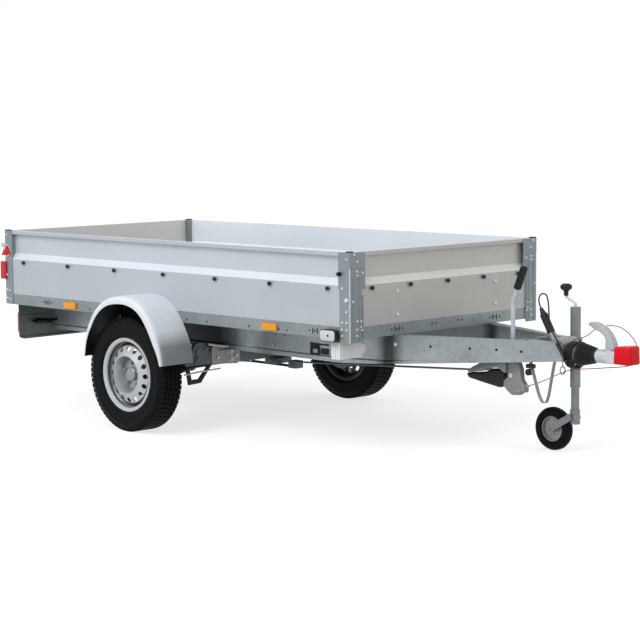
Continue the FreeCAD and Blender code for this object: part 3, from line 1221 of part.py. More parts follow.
def gaiter():
    count = int(size("gaiter_folds"))
    start = "housing_end + touch_gap"
    pitch = "((gaiter_end - gaiter_fold - housing_end - touch_gap) / gaiter_folds)"
    outside = [("gaiter_large", start)]
    for index in range(count):
        crest = "(gaiter_large + (gaiter_small - gaiter_large) * %d / gaiter_folds)" % (index + 1)
        outside.append((crest, "%s + %s * (%d + 0.5)" % (start, pitch, index)))
        outside.append(("%s - gaiter_fold" % crest, "%s + %s * %d" % (start, pitch, index + 1)))
    inside = [("%s - gaiter_wall" % radius, place_x) for radius, place_x in reversed(outside)]
    collar = "draw_tube_radius + touch_gap"
    ends = [("%s + gaiter_wall" % collar, "gaiter_end"), (collar, "gaiter_end"),
            (collar, "gaiter_end - gaiter_fold")]
    node("gaiter", spun("gaiter", "X", outside + ends + inside[1:], (LEG_END, "0", AXIS_Z)))


def coupling_head():
    neck = spun("coupling_neck", "X", [
        ("draw_tube_bore", "draw_tube_start"), ("draw_tube_radius", "draw_tube_start"),
        ("draw_tube_radius", "neck_start"), ("neck_radius", "neck_start"), ("neck_radius", "neck_end"),
        ("0", "neck_end"), ("0", "draw_tube_end"), ("draw_tube_bore", "draw_tube_end")], (LEG_END, "0", AXIS_Z))
    body = slab([(drawn("draw_tube_end + touch_gap"), "%s - head_drop" % AXIS_Z),
                 (drawn("draw_tube_end + touch_gap"), "%s + head_rise" % AXIS_Z),
                 (drawn("head_end"), "%s + head_rise" % AXIS_Z), (drawn("head_end"), "%s - head_drop" % AXIS_Z)],
                [0, 0, size("head_drop / 2"), size("head_drop / 4")], -size("cover_half - cover_wall"), size("cover_half - cover_wall"))
    centre = VEC(size(drawn("ball_ahead")), 0, size(AXIS_Z))
    socket = size("ball_radius + socket_clearance")
    body = body.cut([Part.makeSphere(socket, centre),
                     Part.makeCylinder(socket, size("head_drop * 2"), centre, VEC(0, 0, -1))])
    seat = block("handle_seat_block", (drawn("seat_start"), drawn("seat_end")), ("-handle_half", "handle_half"),
                 ("%s + (draw_tube_radius + neck_radius) / 2" % AXIS_Z, "%s + handle_seat" % AXIS_Z))
    node("coupling_head", fused("coupling_head", [neck, made("coupling_body", body), seat]))


HANDLE_SHARES = [
    (0.594, 0.0), (0.852, 0.0), (0.88, 0.14), (1.0, 0.25), (0.865, 0.54), (0.697, 0.77), (0.503, 0.90),
    (0.232, 1.0), (0.02, 0.96), (0.026, 0.82), (0.284, 0.664), (0.594, 0.369)]
HANDLE_ROUND_SHARES = [0, 0, 0.05, 0.1, 0.4, 0.4, 0.4, 0.14, 0.05, 0.05, 0.4, 0.16]


def scaled(shares, start_x, start_z, length, height):
    return [VEC(size(start_x) + size(length) * x, 0, size(start_z) + size(height) * z) for x, z in shares]


def plate_of(points, radii, middle, half):
    """A plate with a rounded side view, standing on both sides of the plane Y = middle."""
    face = rounded_face(points, radii)
    face.translate(VEC(0, middle - half, 0))
    return face.extrude(VEC(0, 2 * half, 0))


def handle():
    points = scaled(HANDLE_SHARES, drawn("handle_start"), "%s + handle_seat" % AXIS_Z, "handle_length",
                    "handle_height")
    radii = [size("handle_height") * share for share in HANDLE_ROUND_SHARES]
    shape = plate_of(points, radii, 0, size("handle_half"))
    node("coupling_handle", made("coupling_handle", shape))


def cover():
    front = drawn("coupling_reach")
    lean = "cover_drop / 2"
    foot = "%s - cover_drop" % AXIS_Z
    outer = slab([(drawn("cover_start"), foot), (drawn("cover_start"), "%s + cover_rear_rise" % AXIS_Z),
                  ("%s - %s" % (front, lean), "%s + cover_rise" % AXIS_Z), (front, foot)],
                 [0, size("cover_edge / 2"), size("cover_edge * 1.5"), size("cover_edge")],
                 -size("cover_half"), size("cover_half"))
    ends = (size(drawn("cover_start")), size(front))
    levels = (size(foot), size("%s + cover_rise" % AXIS_Z))
    half = size("cover_half")
    edge = size("cover_edge")
    outer = outer.common(front_slab(half, *levels, edge, *ends)).common(plan_slab(half, *ends, edge, *levels))
    wall = "cover_wall"
    inner = slab([(drawn("cover_start - %s" % wall), "%s - %s" % (foot, wall)),
                  (drawn("cover_start - %s" % wall), "%s + cover_rear_rise - %s" % (AXIS_Z, wall)),
                  ("%s - %s - %s" % (front, lean, wall), "%s + cover_rise - %s" % (AXIS_Z, wall)),
                  ("%s - %s" % (front, wall), "%s - %s" % (foot, wall))],
                 [0, 0, size("cover_edge"), 0], -size("cover_half - cover_wall"), size("cover_half - cover_wall"))
    node("coupling_cover", made("coupling_cover", outer.cut(inner)))


# Brake gear

CASTING_SHARES = [(0.321, 0.944), (0.857, 0.994), (1.0, 1.0), (0.964, 0.602), (1.0, 0.062), (0.607, 0.0),
                  (0.107, 0.155), (0.0, 0.255)]
CASTING_ROUND_SHARES = [0, 0, 0.03, 0.2, 0.06, 0.2, 0.1, 0.08]
SLOT_SHARES = [(0.75, 0.28)]
SPRING_SHARES = [(0.0, 0.31), (0.05, 0.57), (0.23, 0.82), (0.43, 0.90), (0.78, 0.955), (1.0, 0.99), (0.78, 0.0),
                 (0.30, 0.05)]
SPRING_ROUND_SHARES = [0.1, 0.2, 0.3, 0.3, 0, 0, 0, 0.3]


def reversing_lever():
    side = -size("brake_side")
    points = scaled(CASTING_SHARES, drawn("casting_start"), "casting_foot", "casting_length", "casting_height")
    radii = [size("casting_height") * share for share in CASTING_ROUND_SHARES]
    shape = plate_of(points, radii, side, size("casting_half"))
    share_x, share_z = SLOT_SHARES[0]
    x = size(drawn("casting_start + casting_length * %s" % share_x))
    z = size("casting_foot + casting_height * %s" % share_z)
    wide = size("casting_slot")
    tall = size("casting_slot_height")
    slot = rounded_face([VEC(x - wide / 2, 0, z - tall / 2), VEC(x + wide / 2, 0, z - tall / 2),
                         VEC(x + wide / 2, 0, z + tall / 2), VEC(x - wide / 2, 0, z + tall / 2)],
                        [0.49 * wide] * 4)
    slot.translate(VEC(0, side - 2 * size("casting_half"), 0))
    node("reversing_lever", made("reversing_lever", shape.cut(slot.extrude(VEC(0, 4 * size("casting_half"), 0)))))


def spring_housing():
    side = -size("brake_side")
    points = scaled(SPRING_SHARES, drawn("spring_start"), "spring_foot", "spring_length", "spring_height")
    radii = [size("spring_height") * share for share in SPRING_ROUND_SHARES]
    node("spring_housing", made("spring_housing", plate_of(points, radii, side, size("spring_half"))))


def straight_rod(name, start, end, radius):
    return made(name, Part.makeCylinder(radius, start.distanceToPoint(end), start, end - start))


def brake_rod():
    side = size("brake_side")
    start = VEC(size(drawn("spring_start")) - size("touch_gap"), -side, size("rod_front_height"))
    end = VEC(size(behind("compensator_setback")), -size("rod_rear_side"), size("rod_rear_height"))
    x = behind("compensator_setback")
    yoke = block("compensator", ("%s - compensator_length" % x, "%s + rod_radius" % x),
                 ("-compensator_half", "compensator_half"),
                 ("compensator_height - compensator_sheet / 2", "compensator_height + compensator_sheet / 2"))
    node("brake_rod", fused("brake_rod", [straight_rod("brake_pull_rod", end, start, size("rod_radius")), yoke]))


def limp_radii(points):
    """Bend radii that leave a short straight between neighbouring bends."""
    radii = [0] * len(points)
    for index in range(1, len(points) - 1):
        back = points[index] - points[index - 1]
        forth = points[index + 1] - points[index]
        turn = back.getAngle(forth)
        if turn > 1e-4:
            radii[index] = 0.45 * min(back.Length, forth.Length) / math.tan(turn / 2)
    return radii


def pipe(points, radii, radius):
    spine = Part.Wire(path_edges(points, radii, False))
    ring = Part.Wire(Part.makeCircle(radius, points[0], points[1] - points[0]))
    return spine.makePipeShell([ring], True, True)


def cord(name, points, radius):
    radii = limp_radii(points)
    tight = min(value for value in radii if value)
    print("%s: smallest bend %.0f mm for a diameter of %.1f mm" % (name, tight, 2 * radius))
    shape = pipe(points, radii, radius)
    length = Part.Wire(path_edges(points, radii, False)).Length
    wanted = math.pi * radius * radius * length
    if not abs(shape.Volume - wanted) < wanted / 100:
        raise ValueError("%s: volume %.0f where its path gives %.0f" % (name, shape.Volume, wanted))
    return made(name, shape)


def brake_cables():
    radius = size("brake_cable_radius")
    z = size("brake_cable_height")
    start = VEC(size(behind("compensator_setback + compensator_length")), -size("brake_cable_side"), z)
    corner = VEC(size("%s - brake_cable_back" % AXLE_X), start.y, z)
    end = VEC(corner.x, -size("%s - touch_gap" % SPINDLE_SHOULDER), z)
    shape = pipe([start, corner, end], [0, size("brake_cable_bend"), 0], radius)
    node("brake_cables", both("brake_cables", made("brake_cable_right", shape)))


def offset_band(points, width):
    """Corners of a band of one width along a side-view path, and which way each corner turns."""
    normals = []
    for start, end in zip(points, points[1:]):
        run = (end - start).normalize()
        normals.append(VEC(-run.z, 0, run.x))
    near = []
    far = []
    turns = []
    for index, point in enumerate(points):
        before = normals[max(index - 1, 0)]
        after = normals[min(index, len(normals) - 1)]
        mitre = (before + after).normalize()
        reach = width / 2 / mitre.dot(after)
        near.append(point + mitre * reach)
        far.append(point - mitre * reach)
        turns.append(before.cross(after).y)
    return near, far, turns


def band(points, radii, width, middle, half):
    near, far, turns = offset_band(points, width)
    near_radii = []
    far_radii = []
    for radius, turn in zip(radii, turns):
        outward = width / 2 if turn > 0 else -width / 2
        near_radii.append(radius + outward if radius else 0)
        far_radii.append(radius - outward if radius else 0)
    return plate_of(near + far[::-1], near_radii + far_radii[::-1], middle, half)


def handbrake():
    side = -size("brake_side")
    x = size(drawn("lever_ahead"))
    rest = scaled(CASTING_SHARES[:2], drawn("casting_start"), "casting_foot", "casting_length", "casting_height")
    rise = (rest[1].z - rest[0].z) / (rest[1].x - rest[0].x)
    bottom = VEC(x, 0, rest[0].z + rise * (x + size("lever_width / 2") - rest[0].x))
    bend = VEC(x, 0, size("shaft_height + lever_bend"))
    top = VEC(x + size("lever_lean"), 0, size("shaft_height + lever_top"))
    bar = band([bottom, bend, top - (top - bend).normalize() * size("lever_sheet")],
               [0, size("lever_width * 3"), 0], size("lever_width"), side, size("lever_sheet / 2"))
    start = top - (top - bend).normalize() * size("grip_length")
    grip = plate_of(*grip_outline(start, top), side, size("grip_thickness / 2"))
    node("handbrake_lever", made("handbrake_lever", bar))
    node("handbrake_grip", made("handbrake_grip", grip.cut(bar)))


def grip_outline(start, top):
    near, far, _ = offset_band([start, top], size("grip_width"))
    return near + far[::-1], [0.2 * size("grip_width"), 0.45 * size("grip_width"), 0.45 * size("grip_width"),
                              0.2 * size("grip_width")]


# Jockey wheel

MAST = (drawn("jockey_ahead"), "jockey_side", "0")
JOCKEY_X = drawn("jockey_ahead - jockey_trail")
JOCKEY_Z = "(jockey_wheel_diameter / 2)"


def jockey_mast():
    collar = "inner_radius + running_fit"
    room = "mast_radius - mast_wall"
    tube = spun("jockey_outer_tube", "Z", [
        (collar, "mast_foot"), ("mast_radius", "mast_foot"), ("mast_radius", "mast_top"), ("0", "mast_top"),
        ("0", "mast_top - mast_wall * 2"), (room, "mast_top - mast_wall * 2"),
        (room, "mast_foot + collar_height"), (collar, "mast_foot + collar_height")], MAST)
    x = (drawn("jockey_ahead - mast_radius - clamp_wall"), drawn("jockey_ahead + mast_radius + clamp_wall"))
    near = leg_face("jockey_ahead - mast_radius - clamp_wall", "0")
    far = leg_face("jockey_ahead + mast_radius + clamp_wall", "0")
    z = ("clamp_foot", "clamp_foot + clamp_height")
    plate = prism("jockey_clamp_block", "XY_Plane", [
        (x[0], near), (x[1], far), (x[1], "jockey_side"), (x[0], "jockey_side")], *z)
    ring = rod("jockey_clamp_ring", "Z", (MAST[0], MAST[1], z[0]), "mast_radius + clamp_wall", "clamp_height")
    bore = rod("jockey_clamp_bore", "Z", (MAST[0], MAST[1], "clamp_foot - clamp_wall"), "mast_radius + touch_gap",
               "clamp_height + 2 * clamp_wall")
    clamp = cut("jockey_clamp", fused("jockey_clamp_solid", [plate, ring]), [bore])
    node("jockey_mast", group("jockey_mast", [tube, clamp]))


def jockey_crank():
    x = size(MAST[0])
    y = size("jockey_side")
    low = size("mast_top")
    high = low + size("crank_rise + crank_lift")
    throw = x - size("crank_throw")
    points = [VEC(x, y, low), VEC(x, y, low + size("crank_rise")), VEC(throw, y, high - size("crank_rise") / 3),
              VEC(throw, y, high)]
    rod_shape = pipe(points, [0, size("crank_bend"), size("crank_bend"), 0], size("crank_radius"))
    knob_shape = spun("crank_knob_turned", "Z", [
        ("0", "0"), ("crank_neck", "0"), ("crank_neck", "crank_knob_height * 0.35"),
        ("crank_knob_radius", "crank_knob_height * 0.6"), ("crank_knob_radius", "crank_knob_height * 0.85"),
        ("crank_knob_radius * 0.6", "crank_knob_height"), ("0", "crank_knob_height")],
        ("%s - crank_throw" % MAST[0], MAST[1], "mast_top + crank_rise + crank_lift"))
    node("jockey_crank", made("jockey_crank", rod_shape))
    node("crank_knob", knob_shape)


def jockey_inner():
    foot_top = "sleeve_foot - touch_gap"
    ring_foot = "sleeve_foot + swivel_height + touch_gap"
    bore = "inner_radius - inner_wall"
    outer = "inner_radius + sleeve_wall"
    node("jockey_inner_tube", spun("jockey_inner_tube", "Z", [
        ("0", "inner_foot"), (outer, "inner_foot"), (outer, foot_top), ("inner_radius", foot_top),
        ("inner_radius", ring_foot), (outer, ring_foot), (outer, "%s + sleeve_wall * 2" % ring_foot),
        ("inner_radius", "%s + sleeve_wall * 2" % ring_foot), ("inner_radius", "inner_top"), (bore, "inner_top"),
        (bore, "inner_foot + sleeve_wall"), ("0", "inner_foot + sleeve_wall")], MAST))


def jockey_fork():
    x = size(MAST[0])
    y = size("jockey_side")
    hub = VEC(size(JOCKEY_X), 0, size(JOCKEY_Z))
    top = VEC(x, 0, size("sleeve_foot + swivel_height / 2"))
    radius = size("fork_end_radius")
    along = (top - hub).normalize()
    across = VEC(-along.z, 0, along.x)
    corners = [hub - along * radius - across * radius, top - across * radius, top + across * radius,
               hub - along * radius + across * radius]
    inner = size("fork_inner")
    sheet = size("fork_sheet")
    arms = []
    for start in (y - inner - sheet, y + inner):
        face = rounded_face(corners, [0.98 * radius, 0, 0, 0.98 * radius])
        face.translate(VEC(0, start, 0))
        arms.append(face.extrude(VEC(0, sheet, 0)))
    outer = size("inner_radius + sleeve_wall")
    foot = size("sleeve_foot")
    height = size("swivel_height")
    sleeve = Part.makeCylinder(outer, height, VEC(x, y, foot))
    web = Part.makeBox(outer / 2, 2 * (inner + sheet), height / 2, VEC(x - outer / 2, y - inner - sheet, foot + height / 4))
    bore = Part.makeCylinder(size("inner_radius + running_fit"), 2 * height, VEC(x, y, foot - height / 2))
    pin = Part.makeCylinder(size("jockey_pin_radius"), 2 * (inner + 2 * sheet),
                            VEC(hub.x, y - inner - 2 * sheet, hub.z), VEC(0, 1, 0))
    node("jockey_fork", made("jockey_fork", sleeve.fuse(arms + [web]).cut(bore).fuse(pin).removeSplitter()))


def jockey_wheel():
    at = (JOCKEY_X, "jockey_side", JOCKEY_Z)
    half = "jockey_wheel_width / 2"
    bead = "jockey_rim_radius"
    crown = JOCKEY_Z
    node("jockey_tyre", spun("jockey_tyre", "Y", [
        ("%s + touch_gap" % bead, "-jockey_rim_width / 2"), ("%s * 0.75 + %s * 0.25" % (bead, crown), "-(%s)" % half),
        ("%s * 0.35 + %s * 0.65" % (bead, crown), "-(%s)" % half), ("%s * 0.96" % crown, "-(%s) * 0.7" % half),
        (crown, "-(%s) * 0.3" % half), (crown, "(%s) * 0.3" % half), ("%s * 0.96" % crown, "(%s) * 0.7" % half),
        ("%s * 0.35 + %s * 0.65" % (bead, crown), half), ("%s * 0.75 + %s * 0.25" % (bead, crown), half),
        ("%s + touch_gap" % bead, "jockey_rim_width / 2")], at))
    bore = "jockey_pin_radius + running_fit"
    hub_half = "(fork_inner - touch_gap * 3)"
    flange = "jockey_rim_width / 2"
    sheet = "fork_sheet"
    node("jockey_rim", spun("jockey_rim", "Y", [
        (bore, "-%s" % hub_half), ("jockey_hub_radius", "-%s" % hub_half), ("jockey_hub_radius", "-%s" % sheet),
        ("%s - %s" % (bead, sheet), "-%s" % sheet), ("%s - %s" % (bead, sheet), "-%s" % flange),
        (bead, "-%s" % flange), (bead, flange), ("%s - %s" % (bead, sheet), flange),
        ("%s - %s" % (bead, sheet), sheet), ("jockey_hub_radius", sheet), ("jockey_hub_radius", hub_half),
        (bore, hub_half)], at))


# Lights and small pieces

def lens(name, x, y, z, axis, radius):
    """A box whose edges along one axis are rounded."""
    low = VEC(size(x[0]), size(y[0]), size(z[0]))
    high = VEC(size(x[1]), size(y[1]), size(z[1]))
    box = Part.makeBox(high.x - low.x, high.y - low.y, high.z - low.z, low)
    edges = edges_where(box, lambda edge: abs(abs(edge.tangentAt(edge.FirstParameter).dot(axis)) - 1) < 1e-6)
    return made(name, box.makeFillet(size(radius), edges))


def lights():
    plate_x = "(%s + rear_plate_inset)" % REAR
    rear = lens("rear_lamp_right", ("%s - lamp_depth" % plate_x, plate_x),
                ("-lamp_side - lamp_width / 2", "-lamp_side + lamp_width / 2"),
                ("lamp_foot", "lamp_foot + lamp_height"), VEC(1, 0, 0), "lens_edge * 2")
    node("rear_lamps", both("rear_lamps", rear))
    post = "bed_width / 2"
    marker = lens("marker_lamp_right", ("%s - marker_depth" % REAR, REAR),
                  ("-%s" % post, "-%s + rear_post_rear" % post),
                  ("marker_foot", "marker_foot + marker_height"), VEC(0, 0, 1), "lens_edge")
    node("marker_lamps", both("marker_lamps", marker))
    sides = []
    for name, at in (("rear", "bed_length - reflector_rear"), ("front", "reflector_front")):
        sides.append(lens("reflector_" + name,
                          (behind("%s + reflector_length / 2" % at), behind("%s - reflector_length / 2" % at)),
                          ("-%s - reflector_depth" % OUTER, "-%s" % OUTER),
                          ("reflector_foot", "reflector_foot + reflector_height"), VEC(0, 1, 0), "lens_edge / 4"))
    node("side_reflectors", both("side_reflectors", group("side_reflectors_right", sides)))
    half = "front_lamp_length / 2"
    x = behind("front_lamp_setback")
    face = "(%s + front_lamp_base)" % OUTER
    base = lens("front_lamp_base_right", ("%s - %s - front_lamp_rim" % (x, half), "%s + %s + front_lamp_rim" % (x, half)),
                ("-%s" % face, "-%s" % OUTER),
                ("front_lamp_foot - touch_gap * 5", "front_lamp_foot + front_lamp_height + touch_gap * 5"),
                VEC(0, 1, 0), "lens_edge / 2")
    node("front_lamp_bases", both("front_lamp_bases", base))
    front = lens("front_lamp_right", ("%s - %s" % (x, half), "%s + %s" % (x, half)),
                 ("-%s - front_lamp_depth" % face, "-%s" % face),
                 ("front_lamp_foot", "front_lamp_foot + front_lamp_height"), VEC(0, 0, 1), "lens_edge")
    node("front_lamps", both("front_lamps", front))


def chock():
    front = behind("chock_setback")
    back = "%s - chock_length" % front
    outer = "-%s" % OUTER
    inner = "%s + chock_width" % outer
    top = "frame_underside - chock_gap"
    body = prism("chock_body", "XY_Plane", [
        (front, outer), (front, inner), ("%s - chock_length / 6" % front, inner),
        ("%s + chock_length / 4" % back, "%s - chock_width / 2" % inner), (back, "%s + chock_width / 3" % outer),
        (back, "%s + chock_width / 6" % outer), ("%s + chock_length / 5" % back, outer)],
        "%s - chock_height" % top, top)
    tools = []
    count = int(size("chock_rib_count"))
    for index in range(count):
        x = "%s + chock_length / 5 + chock_length * 4 / 5 * %d / (chock_rib_count + 1)" % (back, index + 1)
        tools.append(block("chock_groove_%d" % (index + 1), ("%s - chock_groove / 2" % x, "%s + chock_groove / 2" % x),
                           ("%s - chock_groove" % outer, "%s + chock_groove" % outer),
                           ("%s - chock_height * 2" % top, RAIL_TOP)))
    for name, z in (("upper", top), ("lower", "%s - chock_height" % top)):
        tools.append(block("chock_notch_" + name, ("%s - chock_length" % back, "%s + chock_length" % front),
                           ("%s - chock_notch" % inner, "%s + chock_notch" % inner),
                           ("%s - chock_height / 4" % z, "%s + chock_height / 4" % z)))
    node("wheel_chock", cut("wheel_chock", body, tools))


LATCH_SHARES = [(0.0, 0.0), (1.0, 0.2), (0.68, 1.0)]


def latches():
    outer = size("bed_width / 2")
    points = scaled(LATCH_SHARES, "%s - latch_tail" % REAR, "latch_foot", "latch_length", "latch_height")
    cam = made("latch_cam_right", plate_of(points, [size("latch_sheet / 2")] * 3, -outer - size("latch_sheet / 2"),
                                           size("latch_sheet / 2")))
    tube = rod("latch_tube_right", "X", ("%s - latch_reach" % REAR, "-bed_width / 2 + latch_tube", "latch_rise"),
               "latch_tube", "latch_reach")
    node("latch_cams", both("latch_cams", cam))
    node("latch_handles", both("latch_handles", tube))


# Cords and hanging pieces

STRAP_SHARES = [(0, 0.937), (0.201, 0.49), (0.345, 0.184), (0.496, 0), (0.669, 0), (0.777, 0.216), (0.885, 0.616),
                (1, 1)]
PLUG_STRAIGHT_SHARE = 0.75
PLUG_TAIL_SHARES = (0.8, 0.4)


def strap():
    points = scaled(STRAP_SHARES, drawn("strap_start"), "strap_foot", "strap_length", "strap_height")
    node("hanging_strap", made("hanging_strap", band(points, limp_radii(points), size("strap_sheet"),
                                                     -size("brake_side"), size("strap_width / 2"))))


def guide_ring():
    centre = VEC(size(drawn("ring_ahead")), -size("ring_side"), size("ring_height"))
    wire = size("ring_wire")
    radius = size("ring_radius")
    ring = Part.makeTorus(radius, wire, centre, VEC(1, 0, 0))
    drop = size("leg_depth - (leg_depth - leg_nose_depth) * (leg_reach + ring_ahead + leg_bend)"
                " / (leg_reach + leg_nose_slant + leg_bend)")
    top = size("frame_underside") - drop - wire / 3
    hanger = Part.makeCylinder(wire, top - centre.z - radius, centre + VEC(0, 0, radius))
    node("guide_ring", made("guide_ring", ring.fuse(hanger)))


def cords():
    low, high = plug_ends()
    radius = size("plug_radius")
    slant = (high - low).normalize()
    straight = size("plug_length") * PLUG_STRAIGHT_SHARE
    body = Part.makeCylinder(radius, straight, low, slant)
    tail = Part.makeCone(radius * PLUG_TAIL_SHARES[0], radius * PLUG_TAIL_SHARES[1],
                         size("plug_length") - straight, low + slant * straight, slant)
    node("plug", made("plug", body.fuse(tail)))
    main = [high] + route(MAIN_CABLE_SHARES)
    node("main_cable", cord("main_cable", main, size("cable_radius")))
    breakaway = route(BREAKAWAY_CABLE_SHARES)
    node("breakaway_cable", cord("breakaway_cable", breakaway, size("red_cable_radius")))
    drop = "cable_radius * 2"
    node("cable_coil", spun("cable_coil", "X", [
        ("coil_inner", "coil_start"), ("coil_outer", "coil_start"), ("coil_outer", "coil_start + coil_length"),
        ("coil_inner", "coil_start + coil_length")], (LEG_END, "0", "%s - %s" % (AXIS_Z, drop))))


def export():
    DOC.recompute()
    for item in DOC.Objects:
        if "Invalid" in item.State or "Error" in item.State:
            raise ValueError("%s: %s" % (item.Name, item.State))
    for name, item in NODES.items():
        shape = item.Shape
        if shape.isNull() or not shape.isValid() or not shape.Solids:
            raise ValueError("%s: no valid solid" % name)
        shape.exportStep("parts/%s.step" % name)
        print("%s: %d solids, %.0f cm3" % (name, len(shape.Solids), shape.Volume / 1000))


DOC.recompute()
for build in (frame, walls, posts, tailgate, knobs, legs, rear_plate, axle, swing_arms, drums, rims, tyres,
              mudguards, housing, gaiter, coupling_head, handle, cover, reversing_lever, spring_housing,
              brake_rod, brake_cables, handbrake, jockey_mast, jockey_crank, jockey_inner, jockey_fork,
              jockey_wheel, lights, chock, latches, strap, guide_ring, cords):
    build()
    DOC.recompute()
export()
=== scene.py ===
# %% [markdown]
# # A braked single-axle box trailer
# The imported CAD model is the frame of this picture: every piece already stands in its right place.
# Here it gets its finishes, its small fittings, its cords, a camera and a light. All lengths are metres,
# +X points forward to the coupling, +Y to the left and +Z up.

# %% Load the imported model
import math
import random

import bmesh
import bpy
from mathutils import Matrix, Vector


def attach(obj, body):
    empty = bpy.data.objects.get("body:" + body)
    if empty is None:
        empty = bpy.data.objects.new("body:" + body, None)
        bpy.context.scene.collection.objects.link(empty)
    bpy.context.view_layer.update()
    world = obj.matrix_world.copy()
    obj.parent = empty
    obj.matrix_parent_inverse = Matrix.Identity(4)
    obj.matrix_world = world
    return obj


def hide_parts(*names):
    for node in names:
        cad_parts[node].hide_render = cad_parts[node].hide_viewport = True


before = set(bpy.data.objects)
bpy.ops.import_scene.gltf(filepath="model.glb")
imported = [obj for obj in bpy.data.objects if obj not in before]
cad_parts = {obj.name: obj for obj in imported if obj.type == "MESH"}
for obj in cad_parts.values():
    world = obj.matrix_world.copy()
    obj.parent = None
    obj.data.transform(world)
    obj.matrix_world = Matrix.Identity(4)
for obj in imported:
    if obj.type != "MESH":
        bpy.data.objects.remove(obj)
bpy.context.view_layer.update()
random.seed(11)
SIDES = (("right", -1), ("left", 1))
print("pieces in the frame:", len(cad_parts))

# %% [markdown]
# ## Helpers for objects and nodes
# An object shows its data only once it is linked to the scene, so one helper does both. The world, the finishes
# and the Geometry Nodes are all node trees, and another helper sets up a node in one call: an input that is given
# as another node, or as one of its outputs, becomes a link, and any other value is set on the socket.

# %% Object and node helpers
def placed(name, data):
    """A new object with this data, in the scene."""
    item = bpy.data.objects.new(name, data)
    bpy.context.scene.collection.objects.link(item)
    return item


def feed(tree, socket, value):
    """Links a node's first output, or the output that is given, or else sets the value."""
    if isinstance(value, bpy.types.Node):
        value = value.outputs[0]
    if isinstance(value, bpy.types.NodeSocket):
        tree.links.new(value, socket)
    else:
        socket.default_value = value


def node_of(tree, kind, inputs=(), **settings):
    node = tree.nodes.new(kind)
    for name, value in settings.items():
        setattr(node, name, value)
    for socket, value in dict(inputs).items():
        feed(tree, node.inputs[socket], value)
    return node


def calc(tree, operation, *values):
    return node_of(tree, "ShaderNodeMath", dict(enumerate(values)), operation=operation)


print("node helpers ready")

# %% [markdown]
# ## Camera
# A long lens far off keeps the parallel edges of the box nearly parallel, as on a product photograph.
# The camera is set by its place, where it looks and a slight roll, written as a rotation matrix, because that
# says exactly where the horizon lies.

# %% Camera
EYE = Vector((7.0071, -6.9641, 1.5866))
YAW, PITCH, ROLL = (math.radians(value) for value in (45.4936, 6.1099, -0.4675))
LENS = 112.5


def studio_camera():
    ahead = Vector((-math.sin(YAW) * math.cos(PITCH), math.cos(YAW) * math.cos(PITCH), -math.sin(PITCH)))
    level = ahead.cross(Vector((0, 0, 1))).normalized()
    upright = level.cross(ahead)
    across = level * math.cos(ROLL) + upright * math.sin(ROLL)
    upward = upright * math.cos(ROLL) - level * math.sin(ROLL)
    data = bpy.data.cameras.new("camera")
    data.sensor_width = 36.0
    data.sensor_fit = "HORIZONTAL"
    data.lens = LENS
    data.clip_end = 200.0
    camera = placed("camera", data)
    camera.matrix_world = Matrix.Translation(EYE) @ Matrix((across, upward, -ahead)).transposed().to_4x4()
    bpy.context.scene.camera = camera


studio_camera()
bpy.context.scene.view_settings.view_transform = "Standard"
print("lens:", LENS, "mm")

# %% [markdown]
# ## Cords
# Two free cords hang on the drawbar. The black supply cable leaves the underside of the overrun housing, is wound
# six times round its barrel to keep it off the road, and ends in the plug, which is parked in a holder on top. The
# thin red breakaway cable runs from the brake lever under the coupling, round its nose and back over the handle.
# Each cord is one NURBS curve with a round bevel: its control points are the corners of the route, so the line
# stays smooth, and the turns of the winding are more points of the same curve.

# %% Cord helpers
LEGS_END = Vector((1.489, 0.0, 0.488))
KNOT_RADIUS = 0.01  # Blender grows a curve's bounding box by this, so it is small and the bevel makes up for it


def routed(shares):
    """Route corners from the drawbar's reference point, given in tenths of a metre."""
    return [LEGS_END + Vector(corner) * 0.1 for corner in shares]


def cord_curve(name, points, diameter):
    data = bpy.data.curves.new(name, "CURVE")
    data.dimensions = "3D"
    data.bevel_depth = diameter / 2 / KNOT_RADIUS
    data.bevel_resolution = 3
    data.resolution_u = 6
    data.use_fill_caps = True
    spline = data.splines.new("NURBS")
    spline.points.add(len(points) - 1)
    for knot, point in zip(spline.points, points):
        knot.co = (*point, 1.0)
        knot.radius = KNOT_RADIUS
    spline.order_u = 3
    spline.use_endpoint_u = True
    return placed(name, data)


def line_length(cord):
    """The length of a cord's smooth line, read from the curve without its bevel."""
    depth = cord.data.bevel_depth
    cord.data.bevel_depth = 0.0
    graph = bpy.context.evaluated_depsgraph_get()
    graph.update()
    mesh = bpy.data.meshes.new_from_object(cord.evaluated_get(graph))
    line = [vertex.co.copy() for vertex in mesh.vertices]
    bpy.data.meshes.remove(mesh)
    cord.data.bevel_depth = depth
    return round(sum((end - start).length for start, end in zip(line, line[1:])), 3)


print("cord helpers ready")

# %% [markdown]
# The winding is drawn turn by turn: fourteen points to a turn keep a second-degree NURBS round, and each turn has
# its own small change of size, because a cable wound by hand never lies in a perfect screw. The curve runs a
# little inside its control points, so the radius is divided by that share first.

# %% Supply cable
WINDING_TURNS = 6
POINTS_A_TURN = 14
WINDING_RADIUS, WINDING_PLAY = 0.0570, 0.0018
WINDING_HEIGHT = 0.481
WINDING_START, WINDING_END = 1.5140, 1.5525
SUPPLY_EXIT = (WINDING_START, 0.030, 0.457)


